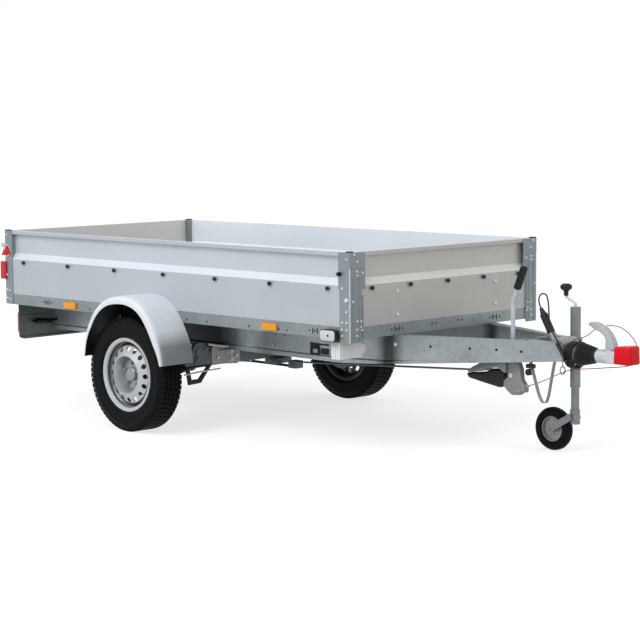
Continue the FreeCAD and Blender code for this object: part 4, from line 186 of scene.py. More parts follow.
def winding():
    """From the housing's underside through the turns to where the cable leaves them on the right, going up."""
    steps = WINDING_TURNS * POINTS_A_TURN + 2
    sizes = [WINDING_RADIUS + random.uniform(-WINDING_PLAY, WINDING_PLAY) for _ in range(WINDING_TURNS + 2)]
    inside = 0.75 + 0.25 * math.cos(2 * math.pi / POINTS_A_TURN)
    points = []
    for step in range(1, steps + 1):
        turn = step / POINTS_A_TURN
        size = sizes[int(turn)] + (sizes[int(turn) + 1] - sizes[int(turn)]) * (turn - int(turn))
        angle = math.pi / 2 - 2 * math.pi * turn
        points.append(Vector((WINDING_START + (WINDING_END - WINDING_START) * step / steps,
                              -size / inside * math.cos(angle), WINDING_HEIGHT - size / inside * math.sin(angle))))
    return points


SUPPLY_ROUTE = [
    (0.428, -0.76, 0.039), (0.254, -0.84, 0.334), (0.041, -0.83, 0.669), (-0.289, -0.76, 1.004),
    (-0.56, -0.6, 1.368), (-0.715, -0.44, 1.791), (-0.793, -0.37, 2.234), (-0.948, -0.33, 2.589),
    (-1.287, -0.31, 2.589), (-1.46, -0.3, 2.236), (-1.285, -0.3, 1.9325)]
supply_start = [Vector(SUPPLY_EXIT), Vector((WINDING_START, 0.020, 0.443)), Vector((WINDING_START, 0.0, 0.4275))]
supply_cable = cord_curve("supply_cable", supply_start + winding() + routed(SUPPLY_ROUTE), 0.007)
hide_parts("main_cable", "cable_coil")
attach(supply_cable, "chassis")
print("supply cable:", line_length(supply_cable), "m")

# %% [markdown]
# The breakaway cable is a thin steel strand in a red sheath. It goes slack under the coupling, so it sags between
# its two ends and stands out round the nose in one open loop.

# %% Breakaway cable
BREAKAWAY_ROUTE = [
    (-1.463, -1.0, -1.536), (-1.054, -0.84, -1.398), (-0.628, -0.8, -1.211), (-0.202, -0.78, -1.024),
    (0.186, -0.72, -0.827), (0.574, -0.6, -0.68), (1.01, -0.45, -0.601), (1.494, -0.36, -0.562),
    (2.027, -0.24, -0.493), (2.56, -0.08, -0.434), (2.996, 0.22, -0.394), (3.335, 0.52, -0.276),
    (3.451, 0.56, 0.108), (3.451, 0.5, 0.502), (3.316, 0.38, 0.846), (3.044, 0.3, 1.142), (2.657, 0.3, 1.319),
    (2.221, 0.3, 1.348), (1.833, 0.3, 1.299), (1.465, 0.3, 1.22), (1.165, 0.3, 1.023), (0.893, 0.3, 0.807),
    (0.574, 0.28, 0.68), (0.128, 0.24, 0.55)]
breakaway = cord_curve("breakaway_strand", routed(BREAKAWAY_ROUTE), 0.004)
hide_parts("breakaway_cable")
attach(breakaway, "chassis")
print("breakaway cable:", line_length(breakaway), "m")

# %% [markdown]
# ## Light and floor
# A white studio: an even sky, one broad lamp from the near side above, and a pale floor. What the camera and
# the reflections see of the sky is plain white, while the light on the object is set apart from it. The floor
# is a pale diffuse surface with a little glow for the camera, so it reads as white and still takes the shadow.

# %% World, lamp and floor
SKY_LIGHT, SKY_COLOR = 0.86, (0.97, 0.985, 1.0, 1)
LAMP_LIGHT, LAMP_SPREAD, LAMP_FROM = 1.55, math.radians(35), Vector((0.04, -1.0, 1.0))
FLOOR_HALF, FLOOR_GREY, FLOOR_GLOW = 60, 0.34, 0.72


def seen_factor(tree):
    """1 where the camera or a reflection looks, 0 for light that falls on the object."""
    ray = node_of(tree, "ShaderNodeLightPath").outputs
    seen = calc(tree, "MAXIMUM", ray["Is Camera Ray"], ray["Is Glossy Ray"])
    return calc(tree, "MAXIMUM", seen, ray["Is Transmission Ray"])


def empty_tree(holder):
    """The node tree of a world or a material, turned on and cleared."""
    holder.use_nodes = True
    holder.node_tree.nodes.clear()
    return holder.node_tree


def studio_world():
    world = bpy.context.scene.world = bpy.data.worlds.new("studio")
    tree = empty_tree(world)
    light = node_of(tree, "ShaderNodeBackground", {"Color": SKY_COLOR, "Strength": SKY_LIGHT})
    seen = node_of(tree, "ShaderNodeBackground", {"Color": (1, 1, 1, 1), "Strength": 1.0})
    mix = node_of(tree, "ShaderNodeMixShader", {0: seen_factor(tree), 1: light, 2: seen})
    node_of(tree, "ShaderNodeOutputWorld", {"Surface": mix})


def studio_lamp():
    data = bpy.data.lights.new("key", "SUN")
    data.energy = LAMP_LIGHT
    data.angle = LAMP_SPREAD
    placed("key", data).rotation_euler = LAMP_FROM.to_track_quat("Z", "Y").to_euler()


def studio_floor():
    half = FLOOR_HALF
    mesh = bpy.data.meshes.new("floor")
    mesh.from_pydata([(-half, -half, 0), (half, -half, 0), (half, half, 0), (-half, half, 0)], [], [(0, 1, 2, 3)])
    material = bpy.data.materials.new("floor")
    tree = empty_tree(material)
    pale = node_of(tree, "ShaderNodeBsdfDiffuse", {"Color": (FLOOR_GREY, FLOOR_GREY, FLOOR_GREY, 1)})
    dark, glow = (node_of(tree, "ShaderNodeEmission", {"Strength": strength}) for strength in (0.0, FLOOR_GLOW))
    pick = node_of(tree, "ShaderNodeMixShader", {0: seen_factor(tree), 1: dark, 2: glow})
    both = node_of(tree, "ShaderNodeAddShader", {0: pale, 1: pick})
    node_of(tree, "ShaderNodeOutputMaterial", {"Surface": both})
    mesh.materials.append(material)
    placed("floor", mesh)


studio_world()
studio_lamp()
studio_floor()
print("sky", SKY_LIGHT, "lamp", LAMP_LIGHT)

# %% [markdown]
# ## Finishes: the shared parts of a material
# Each finish is a Principled surface with two or three patterns that read Object coordinates, so their grain
# has a real size. One method lays a pattern into the colour, another into the roughness and a third into the
# bump, and each finish below says which it uses.

# %% Finish helper
WHEEL_X = -0.604
TYRE_RADIUS = 0.282
FACING_FADE = (-0.02, -0.05)


def srgb(*values):
    """A colour as read from a picture, 0 to 255, made linear for the shader."""
    shares = [value / 255 for value in values]
    return (*(share / 12.92 if share <= 0.04045 else ((share + 0.055) / 1.055) ** 2.4 for share in shares), 1.0)


class Finish:
    """One material while it is being laid out."""

    def __init__(self, name, color, rough, **sockets):
        self.material = bpy.data.materials.new(name)
        self.material.use_nodes = True
        self.tree = self.material.node_tree
        self.shader = self.tree.nodes["Principled BSDF"]
        self.base = color[:3]
        self.relief = {}
        for socket, value in {"Base Color": color, "Roughness": rough, **sockets}.items():
            self.shader.inputs[socket.replace("_", " ")].default_value = value
        self.place = self.node("ShaderNodeTexCoord").outputs["Object"]

    def node(self, kind, inputs=(), **settings):
        return node_of(self.tree, kind, inputs, **settings)

    def along(self, axis):
        """The place along one axis, in metres."""
        return self.node("ShaderNodeSeparateXYZ", {0: self.place}).outputs[axis]

    def past(self, axis, middle):
        return calc(self.tree, "SUBTRACT", self.along(axis), middle)

    def away(self, axis, middle=0.0):
        """The distance from a plane that stands across one axis."""
        return calc(self.tree, "ABSOLUTE", self.past(axis, middle))

    def from_axle(self):
        """The distance from the line through both wheels."""
        flat = self.node("ShaderNodeVectorMath", {0: self.place, 1: (1, 0, 1), 2: (-WHEEL_X, 0, -TYRE_RADIUS)},
                         operation="MULTIPLY_ADD")
        return self.node("ShaderNodeVectorMath", {0: flat}, operation="LENGTH").outputs["Value"]

    def facing_axle(self):
        """1 on faces that look towards the line through both wheels, 0 on the others."""
        way = self.node("ShaderNodeSeparateXYZ", {0: self.node("ShaderNodeNewGeometry").outputs["True Normal"]})
        ahead = calc(self.tree, "MULTIPLY", self.past("X", WHEEL_X), way.outputs["X"])
        upward = calc(self.tree, "MULTIPLY", self.past("Z", TYRE_RADIUS), way.outputs["Z"])
        return self.ranged(calc(self.tree, "ADD", ahead, upward), 0.0, 1.0, *FACING_FADE)

    def noise(self, scale, detail=3.0, stretch=(1, 1, 1)):
        place = self.node("ShaderNodeMapping", {"Vector": self.place, "Scale": stretch})
        return self.node("ShaderNodeTexNoise", {"Vector": place, "Scale": scale, "Detail": detail}).outputs["Fac"]

    def cells(self, scale):
        return self.node("ShaderNodeTexVoronoi", {"Vector": self.place, "Scale": scale}).outputs["Distance"]

    def waves(self, scale, axis):
        return self.node("ShaderNodeTexWave", {"Vector": self.place, "Scale": scale},
                         bands_direction=axis).outputs["Fac"]

    def ranged(self, value, low, high, start, end):
        """Goes from low to high while the value goes from start to end."""
        return self.node("ShaderNodeMapRange", {"Value": value, "From Min": start, "From Max": end, "To Min": low,
                                                "To Max": high})

    def recolor(self, output):
        self.base = output
        feed(self.tree, self.shader.inputs["Base Color"], output)

    def tint(self, value, low, high, start=0.3, end=0.7):
        """Multiplies the colour by a factor that follows the pattern."""
        factor = self.ranged(value, low, high, start, end)
        self.recolor(self.node("ShaderNodeVectorMath", {0: self.base, "Scale": factor},
                               operation="SCALE").outputs["Vector"])

    def stain(self, value, color):
        """Blends the tinted colour into another one where the pattern is 1."""
        self.recolor(self.node("ShaderNodeMix", {"Factor": value, "A": self.base, "B": color},
                               data_type="RGBA").outputs["Result"])

    def rough(self, value, low, high):
        feed(self.tree, self.shader.inputs["Roughness"], self.ranged(value, low, high, 0.3, 0.7))

    def bump(self, value, height, strength):
        """Height is the real depth of the pattern in metres. Several can be stacked."""
        node = self.node("ShaderNodeBump", {"Height": value, "Distance": height, "Strength": strength, **self.relief})
        self.relief = {"Normal": node}
        feed(self.tree, self.shader.inputs["Normal"], node)


dressed = []


def dress(material, *names):
    """Gives CAD pieces their finish."""
    for name in names:
        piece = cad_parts[name]
        piece.data.materials.clear()
        piece.data.materials.append(material)
        dressed.append(name)


print("finish helpers ready")

# %% [markdown]
# ## Hot-dip galvanised steel
# The chassis, axle and overrun housing are dipped in zinc. It cools in flat crystals, the spangle, with dull
# grey clouds over them. Voronoi cells give the crystals their slightly different greys and noise the clouds. The
# legs are smooth enough to mirror what is near them; that is painted reflection and shadow in their colour: dark
# beside the wheel and at the bend, light between the two and under the bed, the same in any view.

# %% Galvanised steel
# Painted reflection and shadow along the legs: dark beside the wheel and at the bend, light between and under the bed.
LEG_PAINTED_SHADES = (  # middle along X, factor there, and the distances between which it fades to 1
    (-0.62, 0.05, 0.20, 0.37),  # beside the wheel
    (0.74, 0.14, 0.015, 0.075),  # at the bend
    (-0.19, 2.1, 0.02, 0.11),  # between the two
    (-2.0, 1.35, 2.55, 2.70))  # the whole part under the bed, against the drawbar


def galvanised(name, color, spangle=38.0, metallic=0.55, painted_shades=()):
    finish = Finish(name, color, 0.42, Metallic=metallic)
    # Painted reflection and shadow: each row darkens or lightens the colour along X.
    for middle, factor, near, far in painted_shades:
        finish.tint(finish.away("X", middle), factor, 1.0, near, far)
    finish.tint(finish.cells(spangle), 0.93, 1.06, 0.1, 0.7)
    finish.tint(finish.noise(5.0, 4.0), 0.86, 1.10)
    finish.rough(finish.noise(60.0, 2.0), 0.34, 0.56)
    finish.bump(finish.noise(180.0), 0.0004, 0.25)
    return finish.material


LEG_ZINC = galvanised("leg_zinc", srgb(150, 158, 162), painted_shades=LEG_PAINTED_SHADES)
AXLE_ZINC = galvanised("axle_zinc", srgb(98, 103, 106), 60.0, 0.4)
REAR_ZINC = galvanised("rear_zinc", srgb(112, 120, 120), 60.0, 0.4)
CAST_ZINC = galvanised("cast_zinc", srgb(138, 140, 140), 80.0, 0.4)
BRIGHT_ZINC = galvanised("bright_zinc", srgb(196, 201, 204), 90.0, 0.75)
PALE_RIVET = galvanised("pale_rivet", srgb(226, 228, 230), 90.0, 0.3)
DULL_ZINC = galvanised("dull_zinc", srgb(150, 152, 152), 60.0, 0.45)
dress(galvanised("rail_zinc", srgb(138, 146, 147)), "side_rails", "end_rails", "floor_bearers", "rail_hinges",
      "tailgate_hinges")
dress(REAR_ZINC, "rear_plate")
dress(DULL_ZINC, "overrun_housing", "guide_ring", "drum_right", "drum_left", "jockey_rim")
dress(AXLE_ZINC, "swing_arms", "brake_rod")
dress(BRIGHT_ZINC, "jockey_crank", "coupling_head", "latch_handles")
dress(galvanised("mast_zinc", srgb(134, 137, 139), 50.0, 0.6), "jockey_mast", "jockey_inner_tube", "jockey_fork")
dress(galvanised("lever_zinc", srgb(186, 194, 202), 50.0, 0.5), "handbrake_lever")
print("zinc on", len(dressed), "CAD pieces")

# %% [markdown]
# ## Anodised aluminium walls
# The walls are extruded profiles, so fine lines run along their length, and anodising leaves them satin and
# almost without reflections. Noise stretched along the length makes the lines, and a wider noise the marks of
# handling. The inner faces and the slope of the stepped band near the top are painted lighter, as painted light.

# %% Wall aluminium
FINE_LINES, ALONG_LINES = 260.0, 1.5
SLOPE_START, SLOPE_END = (0.7845, 0.7860), (0.8160, 0.8175)
SLOPE_PAINTED_LIGHT = 1.42


def anodised(name, color, along, metallic=0.45, inner=None):
    """inner: axis, middle plane, distance of the inner face and how much lighter that face is painted (painted light).
    """
    finish = Finish(name, color, 0.45, Metallic=metallic)
    if inner:
        axis, middle, reach, lighter = inner
        # Painted light: the inner faces, then the slope of the stepped band, are made lighter.
        finish.tint(finish.away(axis, middle), lighter, 1.0, reach + 0.002, reach + 0.012)
        slope = calc(finish.tree, "MULTIPLY", finish.ranged(finish.along("Z"), 0.0, 1.0, *SLOPE_START),
                     finish.ranged(finish.along("Z"), 1.0, 0.0, *SLOPE_END))
        finish.tint(slope, 1.0, SLOPE_PAINTED_LIGHT, 0.0, 1.0)
    stretch = [ALONG_LINES if axis == along else FINE_LINES for axis in "XYZ"]
    finish.tint(finish.noise(1.0, 3.0, stretch), 0.98, 1.02)
    finish.tint(finish.noise(2.2, 4.0), 0.965, 1.03)
    finish.rough(finish.noise(25.0), 0.38, 0.52)
    finish.bump(finish.noise(1.0, 2.0, stretch), 0.00012, 0.3)
    return finish.material


# The last tuple of each call sets the painted light on the inner faces.
dress(anodised("side_wall", srgb(184, 190, 197), "X", 0.3, ("Y", 0.0, 0.6195, 1.75)), "wall_right", "wall_left")
dress(anodised("end_wall", srgb(184, 183, 179), "Y", 0.3, ("X", -0.5245, 1.2675, 1.5)), "wall_front", "tailgate")
POST_METAL = anodised("post_metal", srgb(138, 147, 151), "Z")
dress(POST_METAL, "front_posts", "rear_posts")
print("walls dressed, slope light", SLOPE_PAINTED_LIGHT)

# %% [markdown]
# ## Moulded plastics, rubber and lenses
# A moulded surface has a fine grain that scatters its gloss, and grey plastic chalks a little in the open.
# Lenses are clear-coated plastic over rows of small prisms: crossed waves in the colour and in the bump stand
# for those.

# %% Plastics and rubber
LENS_PITCH = 90.0
GUARD_SKIN = (0.838, 0.850)
GUARD_LOW_SHADE, LOW_SHADE_TONE = (0.440, 0.515), 0.40


def moulded(name, color, rough, grain=900.0, depth=0.00012, gloss=0.5):
    finish = Finish(name, color, rough, Specular_IOR_Level=gloss)
    finish.tint(finish.noise(7.0), 0.93, 1.05)
    finish.rough(finish.noise(90.0, 2.0), rough - 0.08, rough + 0.1)
    finish.bump(finish.noise(grain, 2.0), depth, 0.5)
    return finish.material


def lens(name, color):
    finish = Finish(name, color, 0.2, Coat_Weight=0.15, Coat_Roughness=0.1, Specular_IOR_Level=0.25)
    for axis, low, high in (("X", 0.86, 1.1), ("Z", 0.90, 1.08)):
        finish.tint(finish.waves(LENS_PITCH, axis), low, high, 0.2, 0.8)
        finish.bump(finish.waves(LENS_PITCH, axis), 0.0006, 0.5)
    return finish.material


def guard_plastic():
    """Pale; painted shade black inside, painted reflection on the low tread side, painted highlight on the lip."""
    finish = Finish("guard_plastic", srgb(206, 211, 217), 0.42)
    finish.tint(finish.noise(7.0), 0.95, 1.04)
    tread_side = finish.ranged(finish.away("Y"), 1.0, 0.0, *GUARD_SKIN)
    low = finish.ranged(finish.along("Z"), 1.0, 0.0, *GUARD_LOW_SHADE)
    # Painted reflection: the lower part of the tread side is darker.
    finish.tint(calc(finish.tree, "MULTIPLY", tread_side, low), 1.0, LOW_SHADE_TONE, 0.0, 1.0)
    # Painted highlight: the outer lip is lighter than the tread side.
    finish.tint(tread_side, 1.16, 0.98, 0.0, 1.0)
    # Painted shade: faces that look towards the axle turn almost black.
    finish.stain(finish.facing_axle(), srgb(26, 27, 28))
    finish.rough(finish.noise(90.0, 2.0), 0.34, 0.52)
    finish.bump(finish.noise(500.0, 2.0), 0.0002, 0.5)
    return finish.material


GUARD_PLASTIC = guard_plastic()
BLACK_PLASTIC = moulded("black_plastic", srgb(20, 21, 23), 0.42, gloss=0.3)
BLACK_METAL = moulded("black_metal", srgb(20, 20, 22), 0.38, gloss=0.3)
BLACK_RUBBER = moulded("black_rubber", srgb(20, 20, 22), 0.5, 400.0, 0.0002, 0.25)
TYRE_RUBBER = moulded("tyre_rubber", srgb(10, 10, 12), 0.6, 300.0, 0.0003, 0.10)
COVER_RED = moulded("cover_red", srgb(216, 8, 24), 0.35, 700.0, 0.00008, 0.2)
RED_LENS = lens("lens_red", srgb(204, 14, 20))
AMBER_LENS = lens("lens_amber", srgb(250, 158, 4))
CLEAR_LENS = lens("lens_clear", srgb(214, 216, 218))
supply_cable.data.materials.append(BLACK_RUBBER)
breakaway.data.materials.append(moulded("sheath_red", srgb(120, 14, 26), 0.4, gloss=0.2))
dress(GUARD_PLASTIC, "mudguard_right", "mudguard_left")
dress(BLACK_PLASTIC, "plug", "crank_knob", "tarp_knobs", "tailgate_knobs", "post_caps")
dress(BLACK_RUBBER, "gaiter", "handbrake_grip", "brake_cables")
dress(TYRE_RUBBER, "jockey_tyre")
dress(COVER_RED, "latch_cams")
dress(moulded("chock_grey", srgb(244, 244, 241), 0.5), "wheel_chock")
dress(RED_LENS, "rear_lamps")
dress(AMBER_LENS, "side_reflectors")
print("CAD pieces with a finish:", len(dressed))

# %% [markdown]
# ## Silver paint on rims and handle
# The rims and the cast handle are sprayed silver: metal flakes under a thin clear film. Very small cells vary
# the gloss as flakes do. On a rim, painted shade darkens what lies deep: the inboard side, the dished middle
# and the ring of holes.

# %% Silver paint
SHADE_DEPTH, SHADE_FADE, SHADE_TONE = 0.752, 0.022, 0.05
HOLE_RING = 0.151
DISH_EDGE = (0.082, 0.094)


def silver(name, color, deep_shade=False):
    finish = Finish(name, color, 0.34, Metallic=0.6, Coat_Weight=0.25, Coat_Roughness=0.2)
    if deep_shade:
        # Painted shade: the inboard side, the ring of holes and the dished middle are darkened.
        finish.tint(finish.away("Y"), SHADE_TONE, 1.0, SHADE_DEPTH, SHADE_DEPTH + SHADE_FADE)
        from_ring = calc(finish.tree, "ABSOLUTE", calc(finish.tree, "SUBTRACT", finish.from_axle(), HOLE_RING))
        finish.tint(from_ring, 0.22, 1.0, 0.008, 0.012)
        finish.tint(finish.from_axle(), 0.70, 1.0, *DISH_EDGE)
    finish.tint(finish.cells(1500.0), 0.95, 1.05, 0.1, 0.7)
    finish.tint(finish.noise(9.0), 0.93, 1.05)
    finish.rough(finish.noise(40.0, 2.0), 0.28, 0.44)
    return finish.material


dress(silver("rim_silver", srgb(184, 187, 190), deep_shade=True), "rim_right", "rim_left")
HANDLE_SILVER = silver("handle_silver", srgb(176, 179, 182))
print("silver dressed, ring of holes at", HOLE_RING)

# %% [markdown]
# ## Plywood floor and webbing
# The floor is film-faced plywood with a fine wire-mesh print, dark brown. The hanging strap is a grey woven
# band: two crossed waves make its weave.

# %% Floor and strap
MESH_PRINT = 120.0
STRAP_WEFT, STRAP_WARP = 300.0, 260.0


def film_plywood():
    finish = Finish("film_plywood", srgb(86, 78, 70), 0.4)
    finish.tint(finish.noise(3.0, 5.0, (1, 4, 1)), 0.85, 1.12)
    for axis in "XY":
        finish.bump(finish.waves(MESH_PRINT, axis), 0.0003, 0.4)
    finish.rough(finish.noise(14.0), 0.34, 0.55)
    return finish.material


def webbing():
    finish = Finish("strap_webbing", srgb(176, 172, 162), 0.85)
    finish.tint(finish.waves(STRAP_WEFT, "Z"), 0.8, 1.1, 0.2, 0.8)
    finish.bump(finish.waves(STRAP_WEFT, "Z"), 0.0005, 0.6)
    finish.bump(finish.waves(STRAP_WARP, "Y"), 0.0004, 0.6)
    return finish.material


dress(film_plywood(), "floor_panel")
dress(webbing(), "hanging_strap")
print("floor and strap dressed")

# %% [markdown]
# ## Fittings that repeat
# Screws, rivets, wheel nuts and tread blocks repeat, so Geometry Nodes make them. One tree sets a small turned
# piece on every point of a mesh, facing the way that an attribute of the point says. The other sets a piece at
# even angles round a wheel. Both end in Realize Instances and Set Material, and the result is read back as a plain
# mesh, because an instance has no faces of its own that could be exported.

# %% Geometry Nodes helpers
def new_tree(name, **sizes):
    """A tree that takes a geometry, the named sizes and a material, and gives a geometry; and what it takes."""
    tree = bpy.data.node_groups.new(name, "GeometryNodeTree")

    def socket(label, kind, in_out="INPUT"):
        return tree.interface.new_socket(label, in_out=in_out, socket_type="NodeSocket" + kind)

    socket("Geometry", "Geometry")
    for label, value in sizes.items():
        socket(label, "Int" if isinstance(value, int) else "Float").default_value = value
    socket("Material", "Material")
    socket("Geometry", "Geometry", "OUTPUT")
    return tree, node_of(tree, "NodeGroupInput").outputs


def named_vector(tree, name):
    """An attribute of the points, by its name."""
    return node_of(tree, "GeometryNodeInputNamedAttribute", {"Name": name},
                   data_type="FLOAT_VECTOR").outputs["Attribute"]


def finish_tree(tree, given, geometry):
    real = node_of(tree, "GeometryNodeRealizeInstances", {"Geometry": geometry})
    paint = node_of(tree, "GeometryNodeSetMaterial", {"Geometry": real, "Material": given["Material"]})
    node_of(tree, "NodeGroupOutput", {"Geometry": paint})
    return tree


def grown(name, mesh, tree, values, body):
    """Runs a tree on a mesh and keeps the result as a plain mesh that rides on a body."""
    seed = placed(name + "_seed", mesh)
    modifier = seed.modifiers.new("tree", "NODES")
    modifier.node_group = tree
    for item in tree.interface.items_tree:
        if item.item_type == "SOCKET" and item.in_out == "INPUT" and item.name in values:
            modifier[item.identifier] = values[item.name]
    graph = bpy.context.evaluated_depsgraph_get()
    graph.update()
    result = bpy.data.meshes.new_from_object(seed.evaluated_get(graph), preserve_all_data_layers=True,
                                             depsgraph=graph)
    bpy.data.objects.remove(seed)
    piece = placed(name, result)
    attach(piece, body)
    return piece


print("tree helpers ready")

# %% [markdown]
# A fastener's head is a low cylinder whose number of sides makes it a hexagon or a round rivet, with a smaller
# one on top of it. The tree reads "facing" from each point and turns the head's axis that way.

# %% Fastener tree
def fastener_tree():
    tree, given = new_tree("fasteners", Radius=0.006, Height=0.003, Sides=12, Crown=0.6)
    small = calc(tree, "MULTIPLY", given["Radius"], given["Crown"])
    head, crown = (node_of(tree, "GeometryNodeMeshCylinder", {"Vertices": given["Sides"], "Radius": radius,
                                                              "Depth": given["Height"]})
                   for radius in (given["Radius"], small))
    lift = node_of(tree, "ShaderNodeCombineXYZ", {"Z": calc(tree, "MULTIPLY", given["Height"], 0.5)})
    raised = node_of(tree, "GeometryNodeTransform", {"Geometry": crown, "Translation": lift})
    both = node_of(tree, "GeometryNodeJoinGeometry", {0: head})
    feed(tree, both.inputs[0], raised)
    turn = node_of(tree, "FunctionNodeAlignRotationToVector", {"Vector": named_vector(tree, "facing")}, axis="Z")
    spread = node_of(tree, "GeometryNodeInstanceOnPoints", {"Points": given["Geometry"], "Instance": both,
                                                            "Rotation": turn})
    return finish_tree(tree, given, spread)


FASTENERS = fastener_tree()
SUNK = 0.45  # of a head's height: its middle stands this far off the point, so that its foot is sunk a little


def fasteners(name, places, material, body="chassis", radius=0.006, height=0.003, sides=12,
              crown=0.6):
    """places: (point, direction) pairs; the head stands on the point."""
    ways = [Vector(way).normalized() for _, way in places]
    mesh = bpy.data.meshes.new(name + "_points")
    mesh.from_pydata([Vector(point) + way * height * SUNK for (point, _), way in zip(places, ways)], [], [])
    for item, way in zip(mesh.attributes.new("facing", "FLOAT_VECTOR", "POINT").data, ways):
        item.vector = way
    grown(name, mesh, FASTENERS, {"Radius": radius, "Height": height, "Sides": sides, "Crown": crown,
                                  "Material": material}, body)
    print(name, len(places))


def on_sides(points, y):
    """Places for (x, z) points on the right and left side, at the distance y from the middle."""
    return [((x, sign * y, z), (0, sign, 0)) for x, z in points for sign in (-1, 1)]


def on_front(points, x):
    """Places for (y, z) points, right and left of the middle, on a face at x that looks forward."""
    return [((x, sign * y, z), (1, 0, 0)) for y, z in points for sign in (-1, 1)]


# %% [markdown]
# ## Shapes drawn by hand
# Sheet-metal parts are outlines pulled to a thickness, and rods are a circle carried along a line. A small class
# gathers such shapes in one bmesh, so that a part of ten plates is still one object with one finish.

# %% Shape helper
SOFT_ANGLE = math.radians(35)  # flatter edges are shaded as one soft surface
BEVEL_ANGLE = 0.6  # sharper edges get the bevel, in radians


class Shape:
    """Solids of one piece, gathered in a bmesh in the trailer's own coordinates."""

    def __init__(self):
        self.mesh = bmesh.new()

    def loft(self, rings, closed=False):
        """Joins rings of corners in a row. The ends are capped, or joined to each other if it is closed."""
        rings = [[self.mesh.verts.new(corner) for corner in ring] for ring in rings]
        after = rings[1:] + rings[:1] if closed else rings[1:]
        faces = [self.mesh.faces.new((low[step - 1], low[step], high[step], high[step - 1]))
                 for low, high in zip(rings, after) for step in range(len(low))]
        if not closed:
            faces += [self.mesh.faces.new(rings[0]), self.mesh.faces.new(rings[-1][::-1])]
        bmesh.ops.recalc_face_normals(self.mesh, faces=faces)
        return self

    def prism(self, outline, pull):
        """outline: corners in order; pull: the vector that gives the thickness."""
        return self.loft([outline, [Vector(corner) + Vector(pull) for corner in outline]])

    def plate(self, outline, y0, y1):
        """A side view of (x, z) corners, from one y to the other."""
        return self.prism([(x, y0, z) for x, z in outline], (0, y1 - y0, 0))

    def box(self, low, high):
        (x0, y0, z0), (x1, y1, z1) = low, high
        return self.plate([(x0, z0), (x1, z0), (x1, z1), (x0, z1)], y0, y1)

    def rod(self, points, radius, sides=12):
        """A round rod along straight runs. A list of radii, one for each point, makes it taper."""
        points = [Vector(point) for point in points]
        radii = radius if isinstance(radius, list) else [radius] * len(points)
        rings, side = [], None
        for before, point, after, size in zip(points[:1] + points, points, points[1:] + points[-1:], radii):
            ahead = (after - before).normalized()
            side = (side - ahead * side.dot(ahead) if side else ahead.orthogonal()).normalized()
            upward = ahead.cross(side)
            rings.append([point + (side * math.cos(turn) + upward * math.sin(turn)) * size for turn in turns(sides)])
        return self.loft(rings)

    def turned(self, profile, centre, sides, closed=True):
        """A profile of (radius, offset along Y) corners turned about the Y axis through centre."""
        return self.loft([[Vector(centre) + Vector((radius * math.cos(turn), offset, radius * math.sin(turn)))
                           for turn in turns(sides)] for radius, offset in profile], closed)

    def mirrored(self):
        """Adds the same solids on the other side of the trailer."""
        copy = bmesh.ops.duplicate(self.mesh, geom=self.mesh.verts[:] + self.mesh.edges[:] + self.mesh.faces[:])
        for item in copy["geom"]:
            if isinstance(item, bmesh.types.BMVert):
                item.co.y = -item.co.y
        turned_out = [item for item in copy["geom"] if isinstance(item, bmesh.types.BMFace)]
        bmesh.ops.reverse_faces(self.mesh, faces=turned_out)
        return self

    def done(self, name, material, body="chassis", slot="galvanised", bevel=0.0, steps=1, replaces=()):
        if bevel:
            sharp = [edge for edge in self.mesh.edges
                     if len(edge.link_faces) == 2 and edge.calc_face_angle(0) > BEVEL_ANGLE]
            bmesh.ops.bevel(self.mesh, geom=sharp, offset=bevel, segments=steps, affect="EDGES", profile=0.5,
                            clamp_overlap=True)
        mesh = bpy.data.meshes.new(name)
        self.mesh.to_mesh(mesh)
        self.mesh.free()
        for face in mesh.polygons:
            face.use_smooth = True
        mesh.set_sharp_from_angle(angle=SOFT_ANGLE)
        mesh.materials.append(material)
        piece = placed(name, mesh)
        if replaces:
            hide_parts(*replaces)
        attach(piece, body)
        print(name, len(mesh.polygons), "faces")


def turns(count):
    """Even angles all the way round."""
    return [2 * math.pi * step / count for step in range(count)]


def front_view(points, x):
    """Corners of a front view, (y, z), set in the plane of one x."""
    return [(x, y, z) for y, z in points]


# %% [markdown]
# ## Tyres
# A road tyre is a turned shell with blocks of rubber on it. The shell is a profile turned about the axle, with two
# fine rings on each side wall. The blocks stand in five rows: one tree makes a ring of blocks and sets it on the
# middle of each row, turned a little so that the gaps of neighbouring rows do not meet.

# %% Tread tree
def tread_tree():
    tree, given = new_tree("tread", Radius=0.28, Count=66, Length=0.0215, Width=0.019, Depth=0.006)
    middle = calc(tree, "MULTIPLY_ADD", given["Depth"], -0.5, given["Radius"])
    circle = node_of(tree, "GeometryNodeMeshCircle", {"Radius": middle, "Vertices": given["Count"]})
    size = node_of(tree, "ShaderNodeCombineXYZ", {"X": given["Depth"], "Y": given["Length"], "Z": given["Width"]})
    block = node_of(tree, "GeometryNodeMeshCube", {"Size": size})
    share = calc(tree, "DIVIDE", node_of(tree, "GeometryNodeInputIndex"), given["Count"])
    turn = node_of(tree, "ShaderNodeCombineXYZ", {"Z": calc(tree, "MULTIPLY", share, 2 * math.pi)})
    facing = node_of(tree, "FunctionNodeEulerToRotation", {0: turn})
    ring = node_of(tree, "GeometryNodeInstanceOnPoints", {"Points": circle, "Instance": block, "Rotation": facing})
    stand = node_of(tree, "FunctionNodeEulerToRotation", {0: named_vector(tree, "shift")})
    rows = node_of(tree, "GeometryNodeInstanceOnPoints", {"Points": given["Geometry"], "Instance": ring,
                                                          "Rotation": stand})
    return finish_tree(tree, given, rows)


TREAD = tread_tree()

